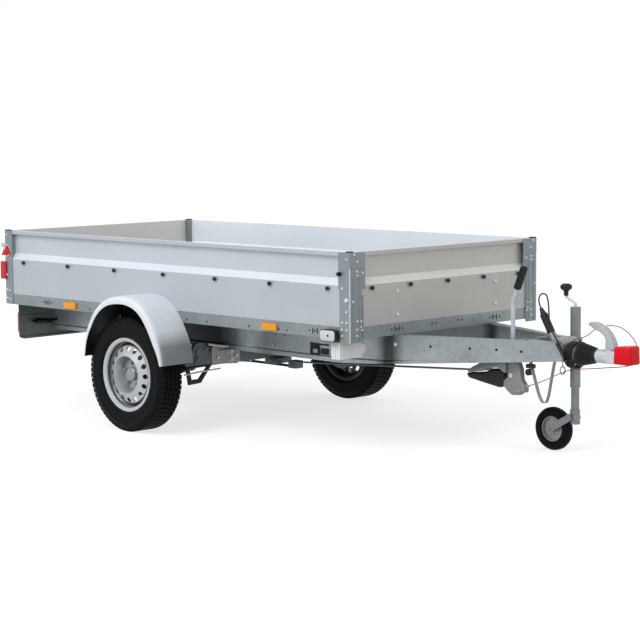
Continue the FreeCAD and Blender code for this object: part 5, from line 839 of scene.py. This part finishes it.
# %% Tyres
WHEEL_SIDE = 0.760
TREAD_ROWS = (-0.0485, -0.0250, 0.0, 0.0250, 0.0485)
ROW_TURN = 0.021
TREAD_DEPTH = 0.0062
FLOOR_GAP = 0.0003
SHELL = [(0.178, -0.052), (0.184, -0.0600), (0.200, -0.0655), (0.204, -0.0672), (0.208, -0.0664), (0.228, -0.0698),
         (0.243, -0.0690), (0.246, -0.0700), (0.250, -0.0682), (0.262, -0.0640), (0.2715, -0.0592),
         (0.2760, -0.0530), (0.2765, 0.0)]
LINER = [(0.266, 0.050), (0.246, 0.060), (0.205, 0.056), (0.182, 0.046)]
tyre_profile = (SHELL + [(radius, -offset) for radius, offset in SHELL[-2::-1]]
                + LINER + [(radius, -offset) for radius, offset in LINER[::-1]])
for side, sign in SIDES:
    body = side + "_wheel"
    Shape().turned(tyre_profile, (WHEEL_X, sign * WHEEL_SIDE, TYRE_RADIUS), 96).done(
        "tyre_shell_" + side, TYRE_RUBBER, body, "tyre_rubber", replaces=("tyre_" + side,))
    rows = bpy.data.meshes.new("tread_rows_" + side)
    rows.from_pydata([(WHEEL_X, sign * WHEEL_SIDE + row, TYRE_RADIUS) for row in TREAD_ROWS], [], [])
    for number, item in enumerate(rows.attributes.new("shift", "FLOAT_VECTOR", "POINT").data):
        item.vector = (math.pi / 2, ROW_TURN * number, 0.0)
    tread = grown("tyre_tread_" + side, rows, TREAD, {"Radius": TYRE_RADIUS - FLOOR_GAP, "Depth": TREAD_DEPTH,
                                                      "Material": TYRE_RUBBER}, body)
    print("tread faces:", len(tread.data.polygons))

# %% [markdown]
# ## Mudguards
# A mudguard is one section carried along an arc over the wheel: a flat tread side that rolls over into a lip on
# the outside. A few measured points give the arc, and a Catmull-Rom spline makes it soft. The lip gets lower
# towards both ends. A liner closes the wheel well towards the box; its black is painted shade.

# %% Mudguards
GUARD_ARC = [(-0.9055, 0.352), (-0.900, 0.430), (-0.878, 0.503), (-0.838, 0.568), (-0.785, 0.620), (-0.722, 0.653),
             (-0.650, 0.668), (-0.565, 0.669), (-0.488, 0.650), (-0.428, 0.611), (-0.382, 0.559), (-0.344, 0.500),
             (-0.317, 0.448), (-0.303, 0.398), (-0.298, 0.352)]
GUARD_SECTION = [(0.0, 0.6495), (0.0, 0.824), (0.0025, 0.835), (0.009, 0.845), (0.018, 0.851), (0.038, 0.852),
                 (0.038, 0.848), (0.019, 0.847), (0.012, 0.842), (0.0065, 0.833), (0.004, 0.824), (0.004, 0.6495)]
END_LIP, LIP_RISE = 0.4, 9
LINER_RADIUS = 0.25


def soft_line(points, steps=4):
    """Catmull-Rom: a soft line through all the points."""
    padded = [Vector(point) for point in [points[0], *points, points[-1]]]
    line = []
    for a, b, c, d in zip(padded, padded[1:], padded[2:], padded[3:]):
        for share in (step / steps for step in range(steps)):
            line.append(0.5 * (2 * b + (c - a) * share + (2 * a - 5 * b + 4 * c - d) * share ** 2
                               + (3 * b - a - 3 * c + d) * share ** 3))
    return line + [padded[-1]]


def guard_shape(sign):
    arc = soft_line(GUARD_ARC)
    last = len(arc) - 1
    rings = []
    for index, point in enumerate(arc):
        ahead = (arc[min(index + 1, last)] - arc[max(index - 1, 0)]).normalized()
        lip = END_LIP + (1 - END_LIP) * min(1.0, min(index, last - index) / LIP_RISE)
        rings.append([(point.x + ahead.y * drop * lip, sign * side, point.y - ahead.x * drop * lip)
                      for drop, side in GUARD_SECTION])
    return Shape().loft(rings)


for side, sign in SIDES:
    guard_shape(sign).done("guard_" + side, GUARD_PLASTIC, slot="guard_plastic", replaces=("mudguard_" + side,))
# The liners are black as painted shade for the dark wheel well.
crescent = [(x + math.copysign(0.004, WHEEL_X - x), z - 0.006) for x, z in GUARD_ARC if z > 0.42]
crescent += [(WHEEL_X + LINER_RADIUS * math.cos(turn), TYRE_RADIUS + LINER_RADIUS * math.sin(turn))
             for turn in (math.radians(34 + 8 * step) for step in range(15))]
Shape().plate(crescent, -0.6530, -0.6500).mirrored().done("guard_liners", BLACK_PLASTIC, slot="black_plastic")

# %% [markdown]
# ## Wheel nuts
# Five hexagon nuts hold each wheel. They stand in a circle round the hub, on the rim's mounting face.

# %% Wheel nuts
NUT_CIRCLE, NUT_SIDE = 0.056, 0.7755
for side, sign in SIDES:
    nuts = [((WHEEL_X + NUT_CIRCLE * math.sin(turn), sign * NUT_SIDE, TYRE_RADIUS + NUT_CIRCLE * math.cos(turn)),
             (0, sign, 0)) for turn in turns(5)]
    fasteners("wheel_nuts_" + side, nuts, DULL_ZINC, side + "_wheel", radius=0.0105, height=0.013, sides=6,
              crown=0.55)

# %% [markdown]
# ## Chassis legs
# Each leg is one pressed channel from the rear plate to the coupling. Its upright side steps outward near the
# bottom into a second, lower strip, which stiffens it. One cross section is drawn, set at four stations along the
# leg and joined: straight under the bed, then bending in and rising to the nose.

# %% Chassis legs
LEG_TOP = 0.543
LEG_HALF = 0.370
LEG_BEND = 0.726
LEG_SLOPE = (LEG_HALF - 0.096) / (1.489 - LEG_BEND)
LEG_WALL, STRIP_OUT = 0.004, 0.007
LEG_STATIONS = [  # x at the top, x at the foot, foot height, strip height, flange
    (-1.769, -1.769, 0.389, 0.022, 0.050), (0.450, 0.450, 0.389, 0.022, 0.050), (0.726, 0.726, 0.407, 0.014, 0.050),
    (1.489, 1.534, 0.459, 0.007, 0.026)]


def leg_section(foot, strip, flange):
    """(inward offset, height) corners of the channel, from the upper flange round to it again."""
    return [(flange, LEG_TOP), (0, LEG_TOP), (0, foot + strip + 0.004), (-STRIP_OUT, foot + strip - 0.002),
            (-STRIP_OUT, foot), (flange, foot), (flange, foot + LEG_WALL),
            (LEG_WALL - STRIP_OUT, foot + LEG_WALL), (LEG_WALL - STRIP_OUT, foot + strip - 0.004),
            (LEG_WALL, foot + strip + 0.002), (LEG_WALL, LEG_TOP - LEG_WALL), (flange, LEG_TOP - LEG_WALL)]


def leg_shape():
    slant = math.sqrt(1 + LEG_SLOPE ** 2)
    mitre = math.tan(math.atan(LEG_SLOPE) / 2)
    rings = []
    for x_top, x_foot, foot, strip, flange in LEG_STATIONS:
        ring = []
        for inward, height in leg_section(foot, strip, flange):
            x = x_foot + (x_top - x_foot) * (height - foot) / (LEG_TOP - foot)
            half = LEG_HALF - inward
            if x_top == LEG_BEND:
                x -= inward * mitre
            if x_top > LEG_BEND:
                half = LEG_HALF - LEG_SLOPE * (x - LEG_BEND) - inward * slant
            ring.append((x, -half, height))
        rings.append(ring)
    return Shape().loft(rings).mirrored()


leg_shape().done("drawbar_legs", LEG_ZINC, replaces=("chassis_legs",))


def on_legs(points):
    """Places for (x, z) points on the outer faces of both legs."""
    return [((x, sign * (LEG_HALF - max(x - LEG_BEND, 0) * LEG_SLOPE), z), (LEG_SLOPE if x > LEG_BEND else 0, sign, 0))
            for x, z in points for sign in (-1, 1)]


LEG_HOLES = [(0.935, 0.497), (1.115, 0.497), (1.235, 0.497), (1.345, 0.494)]
LEG_BOLTS = [(-0.016, 0.485), (0.047, 0.485), (-0.020, 0.432), (-1.20, 0.485), (-1.14, 0.485), (0.775, 0.500)]
fasteners("leg_plugs", on_legs(LEG_HOLES), BLACK_PLASTIC, radius=0.006, height=0.0012, sides=16,
          crown=0.5)
fasteners("leg_bolts", on_legs(LEG_BOLTS), BRIGHT_ZINC, radius=0.008, height=0.006, sides=6)

# %% [markdown]
# ## Axle
# The axle is a square tube that hangs under the legs in two bracket plates on each side. Its ends carry the round
# housings of the swing arms. Each end also has a black stop below it, bent from flat bar. Thin links run from the
# brakes to the middle.

# %% Axle beam and brackets
AXLE_FRONT, AXLE_REAR = -0.367, -0.447
AXLE_LOW, AXLE_HIGH = 0.315, 0.389
BRACKET = [(-0.470, 0.322), (-0.300, 0.310), (-0.285, 0.322), (-0.285, 0.388), (-0.379, 0.388), (-0.379, 0.412),
           (-0.462, 0.412), (-0.470, 0.400)]
BRACKET_WALL = 0.005
BRACKET_BOLTS = [(0.435, 0.352), (0.345, 0.376), (0.310, 0.352), (0.345, 0.335)]
axle = Shape().box((AXLE_REAR, -0.600, AXLE_LOW), (AXLE_FRONT, 0.600, AXLE_HIGH))
axle.box((-0.425, -0.060, 0.283), (-0.345, 0.060, 0.315))
axle.done("axle_beam", AXLE_ZINC, bevel=0.006, steps=2, replaces=("axle_tube",))
brackets = Shape().box((AXLE_REAR - 0.02, -0.415, 0.382), (AXLE_FRONT + 0.02, -0.325, 0.3885))
for x in (AXLE_FRONT, AXLE_REAR - BRACKET_WALL):
    brackets.prism(front_view(BRACKET, x), (BRACKET_WALL, 0, 0))
brackets.mirrored().done("axle_brackets", DULL_ZINC, bevel=0.0015)
fasteners("bracket_bolts", on_front(BRACKET_BOLTS, AXLE_FRONT + BRACKET_WALL), BRIGHT_ZINC, radius=0.009,
          height=0.007, sides=6)

# %% Axle ends
STOP = [(-0.640, 0.318), (-0.620, 0.318), (-0.605, 0.256), (-0.560, 0.256), (-0.500, 0.318), (-0.474, 0.318),
        (-0.545, 0.236), (-0.625, 0.232)]
END_DISCS = (  # rear and front x, y, z, radius, sides
    (-0.395, -0.364, -0.545, 0.385, 0.050, 32), (-0.366, -0.358, -0.545, 0.385, 0.030, 24),
    (-0.372, -0.352, -0.575, 0.350, 0.007, 12), (-0.372, -0.352, -0.520, 0.402, 0.007, 12))
ends = Shape().turned([(0.050, 0.0), (0.050, -0.014), (0.044, -0.019), (0.022, -0.021)], (-0.407, -0.568, 0.345), 32,
                      closed=False)
for rear, front, y, z, radius, sides in END_DISCS:
    ends.rod([(rear, y, z), (front, y, z)], radius, sides)
ends.box((-0.435, -0.598, 0.380), (-0.374, -0.382, 0.409))
ends.mirrored().done("axle_end_housings", AXLE_ZINC)
stops = Shape().prism(front_view(STOP, -0.372), (0.012, 0, 0))
stops.box((-0.430, -0.640, 0.313), (-0.360, -0.474, 0.321))
stops.mirrored().done("axle_stops", BLACK_METAL, slot="black_plastic", bevel=0.002)
links = Shape().rod([(-0.345, -0.668, 0.288), (-0.340, -0.560, 0.296), (-0.336, -0.440, 0.300)], 0.004)
links.rod([(-0.350, -0.505, 0.425), (-0.346, -0.420, 0.410), (-0.342, -0.300, 0.392), (-0.330, -0.200, 0.386)],
          0.0065)
links.mirrored().done("brake_links", BRIGHT_ZINC)

# %% [markdown]
# ## Corner posts
# A post is folded sheet: two leaves meet at a rounded fold, which is drawn as a bright rod, a painted highlight
# along the edge. Stiffening beads run down the front leaf.
# Rivets and bolts hold it to the walls and rails. Their places are the same on the right and on the left.

# %% Posts
POST_SIDE, POST_FRONT = 0.6525, 0.776
FOLD_INSET = 0.0022
BEAD_HALF, BEAD_PROUD, BEAD_SUNK = 0.0022, 0.0022, 0.001
LONG_BEADS = ((-0.6300, 0.532, 0.815), (-0.5920, 0.532, 0.815), (-0.5690, 0.532, 0.740))  # y, low and high z
CROSS_BEADS = (0.818, 0.862)
# The fold is a bright zinc rod: a painted highlight along the post's edge.
folds = Shape().rod([(POST_FRONT - FOLD_INSET, FOLD_INSET - POST_SIDE, z) for z in (0.530, 0.865)], 0.0032, 8)
folds.mirrored().done("post_fold_highlights", BRIGHT_ZINC)
beads = Shape()
for y, low, high in LONG_BEADS:
    beads.box((POST_FRONT - BEAD_SUNK, y - BEAD_HALF, low), (POST_FRONT + BEAD_PROUD, y + BEAD_HALF, high))
for low in CROSS_BEADS:
    beads.box((POST_FRONT - BEAD_SUNK, -0.648, low), (POST_FRONT + 0.0026, -0.566, low + 0.006))
beads.mirrored().done("post_beads", POST_METAL, slot="anodised_aluminium", bevel=0.0006)

# %% Post fasteners
SIDE_RIVETS = [(0.730, 0.620), (0.758, 0.621), (0.728, 0.588), (0.728, 0.560), (0.760, 0.905), (0.730, 0.774),
               (0.758, 0.669), (0.758, 0.588), (-1.804, 0.62), (-1.782, 0.615), (-1.804, 0.575), (-1.782, 0.57),
               (-1.804, 0.915), (-1.804, 0.70)]
FRONT_RIVETS = [(0.608, 0.588), (0.576, 0.585), (0.608, 0.560), (0.624, 0.925), (0.605, 0.893), (0.608, 0.850),
                (0.606, 0.832), (0.571, 0.843), (0.607, 0.626), (0.582, 0.624), (0.582, 0.599), (0.634, 0.715)]
fasteners("post_rivets", on_sides(SIDE_RIVETS, POST_SIDE) + on_front(FRONT_RIVETS, POST_FRONT), PALE_RIVET,
          radius=0.0052, height=0.0042)
fasteners("post_bolts", on_sides([(0.758, 0.722)], POST_SIDE), PALE_RIVET, radius=0.0095, height=0.007, sides=16,
          crown=0.55)
fasteners("wall_rivets", on_front([(0.3415, 0.7445), (0.3415, 0.637)], 0.7745), PALE_RIVET, radius=0.0075,
          height=0.006, sides=16)
fasteners("post_knobs", on_sides([(0.7157, 0.8388)], POST_SIDE), BLACK_PLASTIC, radius=0.0095,
          height=0.013, sides=20, crown=0.75)

# %% [markdown]
# ## Rails
# Bolts hold the rails to the bearers, and round holes stand beside the tie-down slots; holes and bolt places are
# black discs, painted shade. Behind each pair of slots sits a black box, painted shade for the hollow rail, so the
# slots look dark.

# %% Rail fittings
RAIL_SIDE, RAIL_FRONT = 0.6495, 0.773
SLOT_HEIGHT, BOLT_HEIGHT = 0.571, 0.560
SLOT_GROUPS = (0.550, -1.460)
FRONT_GROUP = 0.342
BESIDE_SLOTS = (-0.036, 0.0, 0.036)
RAIL_BOLTS = (-0.339, -0.192, 0.106, 0.310, 0.365, -0.95, -1.10)
SLOT_SHADE_HALF, SLOT_SHADE_LOW, SLOT_SHADE_HIGH = 0.030, 0.552, 0.590
side_holes = [(middle + shift, SLOT_HEIGHT) for middle in SLOT_GROUPS for shift in BESIDE_SLOTS]
side_holes += [(x, BOLT_HEIGHT) for x in RAIL_BOLTS]
front_holes = [(FRONT_GROUP + shift, SLOT_HEIGHT) for shift in BESIDE_SLOTS] + [(0.078, 0.577), (0.106, 0.577)]
# Black discs: painted shade that makes the holes and the bolt places look dark.
fasteners("rail_holes", on_sides(side_holes, RAIL_SIDE) + on_front(front_holes, RAIL_FRONT), BLACK_PLASTIC,
          radius=0.0046, height=0.0010, sides=14, crown=0.5)
# Black boxes behind the slots: painted shade for the inside of the hollow rail.
slot_shades = Shape().box((0.760, -FRONT_GROUP - SLOT_SHADE_HALF, SLOT_SHADE_LOW), (0.7697, -FRONT_GROUP + SLOT_SHADE_HALF, SLOT_SHADE_HIGH))
for middle in SLOT_GROUPS:
    slot_shades.box((middle - SLOT_SHADE_HALF, -0.6462, SLOT_SHADE_LOW), (middle + SLOT_SHADE_HALF, -0.6380, SLOT_SHADE_HIGH))
slot_shades.mirrored().done("slot_shade_boxes", BLACK_PLASTIC, slot="black_plastic")

# %% [markdown]
# ## Coupling handle and cover
# The handle is a bent channel: two side cheeks under a rounded back. Its side view is drawn as one band that
# starts broad at the foot and ends in a thumb rest, and the cheeks are this band pulled to a thickness. The red
# cover is a soft cap that is open below, where the tow ball goes in. Its plan is drawn once, with a round nose,
# and outlines of slightly different size are stacked: down the inside, round the rim and up the outside.

# %% Handle
HANDLE_OUTER = [(1.6180, 0.6255), (1.6215, 0.6340), (1.6330, 0.6369), (1.6560, 0.6350), (1.6790, 0.6265),
                (1.7050, 0.6120), (1.7270, 0.5940), (1.7440, 0.5700), (1.7540, 0.5450), (1.7580, 0.5225)]
HANDLE_INNER = [(1.7090, 0.5225), (1.7100, 0.5600), (1.7060, 0.5740), (1.6920, 0.5880), (1.6680, 0.6000),
                (1.6480, 0.6060), (1.6350, 0.6130), (1.6240, 0.6200)]
HANDLE_WALL = 0.006
CHEEKS, CHEEK_WALL = (-0.0170, 0.0120), 0.0050
BACK_HALF = 0.0125
handle = Shape()
for cheek in CHEEKS:
    handle.plate(HANDLE_OUTER + HANDLE_INNER, cheek, cheek + CHEEK_WALL)
inset = [(x - HANDLE_WALL, z - HANDLE_WALL) for x, z in HANDLE_OUTER]
for a, b, c, d in zip(HANDLE_OUTER, HANDLE_OUTER[1:], inset[1:], inset):
    handle.plate([a, b, c, d], -BACK_HALF, BACK_HALF)
handle.done("coupling_lever", HANDLE_SILVER, slot="silver_paint", bevel=0.0018, steps=2,
            replaces=("coupling_handle",))

# %% Cover
COVER_REAR, COVER_WAIST = 1.7755, 1.8240
COVER_HALF, COVER_NOSE = 0.043, 0.0374
COVER_SQUARE = 0.42
COVER_SLOPE, SLOPE_FROM = 0.075, 1.775
COVER_STEPS = [  # height and inset of the outline
    (0.5300, 0.0085), (0.5270, 0.0050), (0.5240, 0.0042), (0.4700, 0.0038), (0.4640, 0.0042), (0.4640, 0.0032),
    (0.4650, 0.0015), (0.4690, 0.0003), (0.4750, 0.0), (0.5270, 0.0022), (0.5335, 0.0036), (0.5375, 0.0062),
    (0.5395, 0.0105)]


def cover_outline(inset):
    """Plan of the cover: straight sides, then half a squared ellipse round the nose."""
    half = COVER_HALF - inset
    points = [(COVER_REAR + inset / 2, -half)]
    for turn in (math.pi * (step + 0.5) / 20 for step in range(20)):
        points.append((COVER_WAIST + (COVER_NOSE - inset) * math.sin(turn) ** COVER_SQUARE,
                       -half * math.copysign(abs(math.cos(turn)) ** COVER_SQUARE, math.cos(turn))))
    return points + [(COVER_REAR + inset / 2, half)]


def cover_ring(height, inset):
    """One outline at its height; the upper ones slope up to the front."""
    slope = COVER_SLOPE if height > 0.5 else 0.0
    return [(x, y, height + slope * (x - SLOPE_FROM)) for x, y in cover_outline(inset)]


Shape().loft([cover_ring(*step) for step in COVER_STEPS]).done("coupling_cap", COVER_RED, slot="red_plastic",
                                                               replaces=("coupling_cover",))

# %% [markdown]
# ## Brake linkage under the drawbar
# A cast lever hangs from the casing. The handbrake's spring sits behind it under a black boot with a grey shield
# over it, and the breakaway cable pulls the short lever in front. All are side views pulled to a thickness, and
# wide bevels give them the soft edges of a casting.

# %% Brake casting
BOOT = [(0.993, 0.3640), (1.010, 0.3680), (1.105, 0.3790), (1.140, 0.3960), (1.190, 0.4010), (1.222, 0.3830),
        (1.226, 0.3560), (1.208, 0.3200), (1.190, 0.3150), (1.105, 0.3280), (1.008, 0.3440)]
SHIELD = [(1.008, 0.3690), (1.012, 0.3830), (1.040, 0.4000), (1.085, 0.4210), (1.112, 0.4330), (1.236, 0.4350),
          (1.238, 0.3860), (1.222, 0.3880), (1.190, 0.4060), (1.138, 0.4010), (1.102, 0.3840)]
CASTING = [(1.235, 0.4400), (1.296, 0.4440), (1.312, 0.4090), (1.318, 0.3600), (1.340, 0.3350), (1.3400, 0.3040),
           (1.322, 0.3050), (1.304, 0.2900), (1.262, 0.2880), (1.236, 0.3040), (1.212, 0.3260), (1.212, 0.3500),
           (1.236, 0.3680)]
FOOT = [(1.272, 0.292), (1.322, 0.305), (1.326, 0.322), (1.262, 0.318), (1.240, 0.305)]
SHORT_LEVER = [(1.318, 0.330), (1.343, 0.328), (1.3433, 0.340), (1.318, 0.346)]
Shape().plate(BOOT, -0.120, -0.080).done("spring_boot", BLACK_PLASTIC, slot="black_plastic", bevel=0.009, steps=3,
                                         replaces=("spring_housing",))
Shape().plate(SHIELD, -0.126, -0.074).done("spring_shield", CAST_ZINC, bevel=0.004, steps=2)
Shape().plate(CASTING, -0.117, -0.083).plate(FOOT, -0.121, -0.079).done(
    "reversing_casting", CAST_ZINC, slot="galvanised", bevel=0.007, steps=3, replaces=("reversing_lever",))
lever = Shape().plate(SHORT_LEVER, -0.104, -0.096)
lever.rod([(1.262, -0.122, 0.377), (1.262, -0.078, 0.377)], 0.011, 16)
lever.done("reversing_fittings", BRIGHT_ZINC, bevel=0.001)
blocks = Shape().box((1.345, -0.118, 0.418), (1.385, -0.092, 0.436))
blocks.rod([(1.350, -0.110, 0.398), (1.350, -0.082, 0.398)], 0.015, 24)
blocks.done("brake_blocks", BLACK_METAL, slot="black_plastic", bevel=0.002)

# %% [markdown]
# ## Front lamps
# A front position lamp is a black housing with rounded corners on the end of the rail, and a pale lens in it that
# stands a little proud. The bulb shows through as a dark spot, which is set on the lens, as that is not clear here.

# %% Front lamps
def rounded_outline(x0, x1, z0, z1, radius, steps=5):
    """Corners of a rectangle whose corners are rounded."""
    corners = []
    for cx, cz, start in ((x1 - radius, z1 - radius, 0), (x0 + radius, z1 - radius, 90),
                          (x0 + radius, z0 + radius, 180), (x1 - radius, z0 + radius, 270)):
        for step in range(steps + 1):
            turn = math.radians(start + 90 * step / steps)
            corners.append((cx + radius * math.cos(turn), cz + radius * math.sin(turn)))
    return corners


LAMP_BACK, LAMP_FACE, LENS_FACE = -0.6535, -0.6825, -0.6855
lamps = Shape().plate(rounded_outline(0.612, 0.712, 0.531, 0.5865, 0.016), LAMP_BACK, LAMP_FACE)
lamps.mirrored().done("front_lamp_housings", BLACK_PLASTIC, slot="black_plastic", bevel=0.003, steps=2,
                      replaces=("front_lamp_bases",))
lenses = Shape().plate(rounded_outline(0.616, 0.708, 0.535, 0.583, 0.0135), -0.680, LENS_FACE)
lenses.mirrored().done("front_lamp_lenses", CLEAR_LENS, slot="clear_lens", bevel=0.003, steps=2,
                       replaces=("front_lamps",))
fasteners("front_lamp_bulbs", on_sides([(0.668, 0.560)], -LENS_FACE), BLACK_PLASTIC,
          radius=0.0055, height=0.0012, sides=16)

# %% [markdown]
# ## Rear lamps and latches
# Each rear lamp has an amber field for the indicator and a clear one for the reversing light, set on its red lens.
# A red marker lens wraps round each rear post, so that it is seen from behind and from the side. Above it, a ring
# surrounds the tailgate's latch.

# %% Rear lamps and latch rings
FIELD_BACK, FIELD_DEPTH = -1.8095, 0.0032
FIELD_LOW, FIELD_HIGH, FIELD_CORNER = 0.385, 0.489, 0.008
MARKER = [(-1.8220, -0.5960), (-1.8630, -0.5960), (-1.8630, -0.6525), (-1.8560, -0.6610), (-1.8080, -0.6610),
          (-1.8080, -0.6528), (-1.8225, -0.6528)]
MARKER_LOW, MARKER_TALL = 0.676, 0.094
for name, material, slot, y0, y1 in (("rear_lamp_ambers", AMBER_LENS, "amber_lens", -0.583, -0.522),
                                     ("rear_lamp_clears", CLEAR_LENS, "clear_lens", -0.428, -0.378)):
    outline = rounded_outline(y0, y1, FIELD_LOW, FIELD_HIGH, FIELD_CORNER)
    field = Shape().prism(front_view(outline, FIELD_BACK), (-FIELD_DEPTH, 0, 0))
    field.mirrored().done(name, material, slot=slot, bevel=0.0012, steps=2)
markers = Shape().prism([(x, y, MARKER_LOW) for x, y in MARKER], (0, 0, MARKER_TALL))
markers.mirrored().done("marker_lenses", RED_LENS, slot="red_lens", bevel=0.002, steps=2,
                        replaces=("marker_lamps",))
latches = Shape().turned([(0.027, 0.0), (0.033, 0.0), (0.033, -0.003), (0.027, -0.003)], (-1.806, -0.6527, 0.829), 40)
latches.mirrored().done("latch_rings", BRIGHT_ZINC)

# %% [markdown]
# ## Small fittings
# A holder for the chock sits on the near leg. At the rear, a connector joins the lamp wiring, and its cable goes
# up behind the rail in a clip. A tapered sleeve keeps the supply cable from kinking where it leaves the housing,
# and a crimp ends the breakaway cable. Two folds stiffen the rear plate.

# %% Holder and connector
HOLDER_BARS = (  # rear and front x, low and high z
    (0.236, 0.246, 0.412, 0.470), (0.246, 0.290, 0.440, 0.468), (0.286, 0.296, 0.416, 0.452),
    (0.246, 0.290, 0.412, 0.420), (0.286, 0.356, 0.460, 0.467), (0.308, 0.356, 0.418, 0.446))
CONNECTOR_X = -1.752
holder = Shape()
for x0, x1, z0, z1 in HOLDER_BARS:
    holder.box((x0, -0.3775, z0), (x1, -0.3700, z1))
holder.done("chock_holder", BLACK_PLASTIC, slot="black_plastic", bevel=0.001)
connector = Shape().rod(front_view([(-0.533, 0.441), (-0.512, 0.441)], CONNECTOR_X), 0.006)
connector.rod(front_view([(-0.512, 0.441), (-0.500, 0.443), (-0.425, 0.434), (-0.405, 0.437)], CONNECTOR_X), 0.013, 16)
connector.rod([(-1.752, -0.410, 0.437), (-1.752, -0.380, 0.440), (-1.750, -0.340, 0.455), (-1.745, -0.290, 0.484),
               (-1.735, -0.240, 0.520), (-1.725, -0.215, 0.541)], 0.006, 10)
connector.done("rear_connector", BLACK_RUBBER, slot="black_rubber")

# %% Sleeve, crimp and folds
relief = Shape().rod(front_view([(0.0336, 0.4620), (0.0300, 0.4570), (0.0285, 0.4549), (0.0225, 0.4465)],
                                SUPPLY_EXIT[0]), [0.0085, 0.0080, 0.0060, 0.0042], 20)
relief.done("cable_relief", BLACK_RUBBER, slot="black_rubber")
crimp = Shape().rod([(1.3405, -0.1003, 0.3338), (1.3450, -0.0995, 0.3350), (1.3540, -0.0975, 0.3374),
                     (1.3585, -0.0966, 0.3386)], [0.0030, 0.0038, 0.0038, 0.0024], 16)
crimp.done("breakaway_crimp", DULL_ZINC)
seams = Shape().box((-1.7690, -0.6105, 0.4750), (-1.7640, 0.6105, 0.4790))
seams.box((-1.7690, -0.6070, 0.3560), (-1.7560, 0.6070, 0.3600))
seams.done("rear_plate_folds", REAR_ZINC, bevel=0.0008)
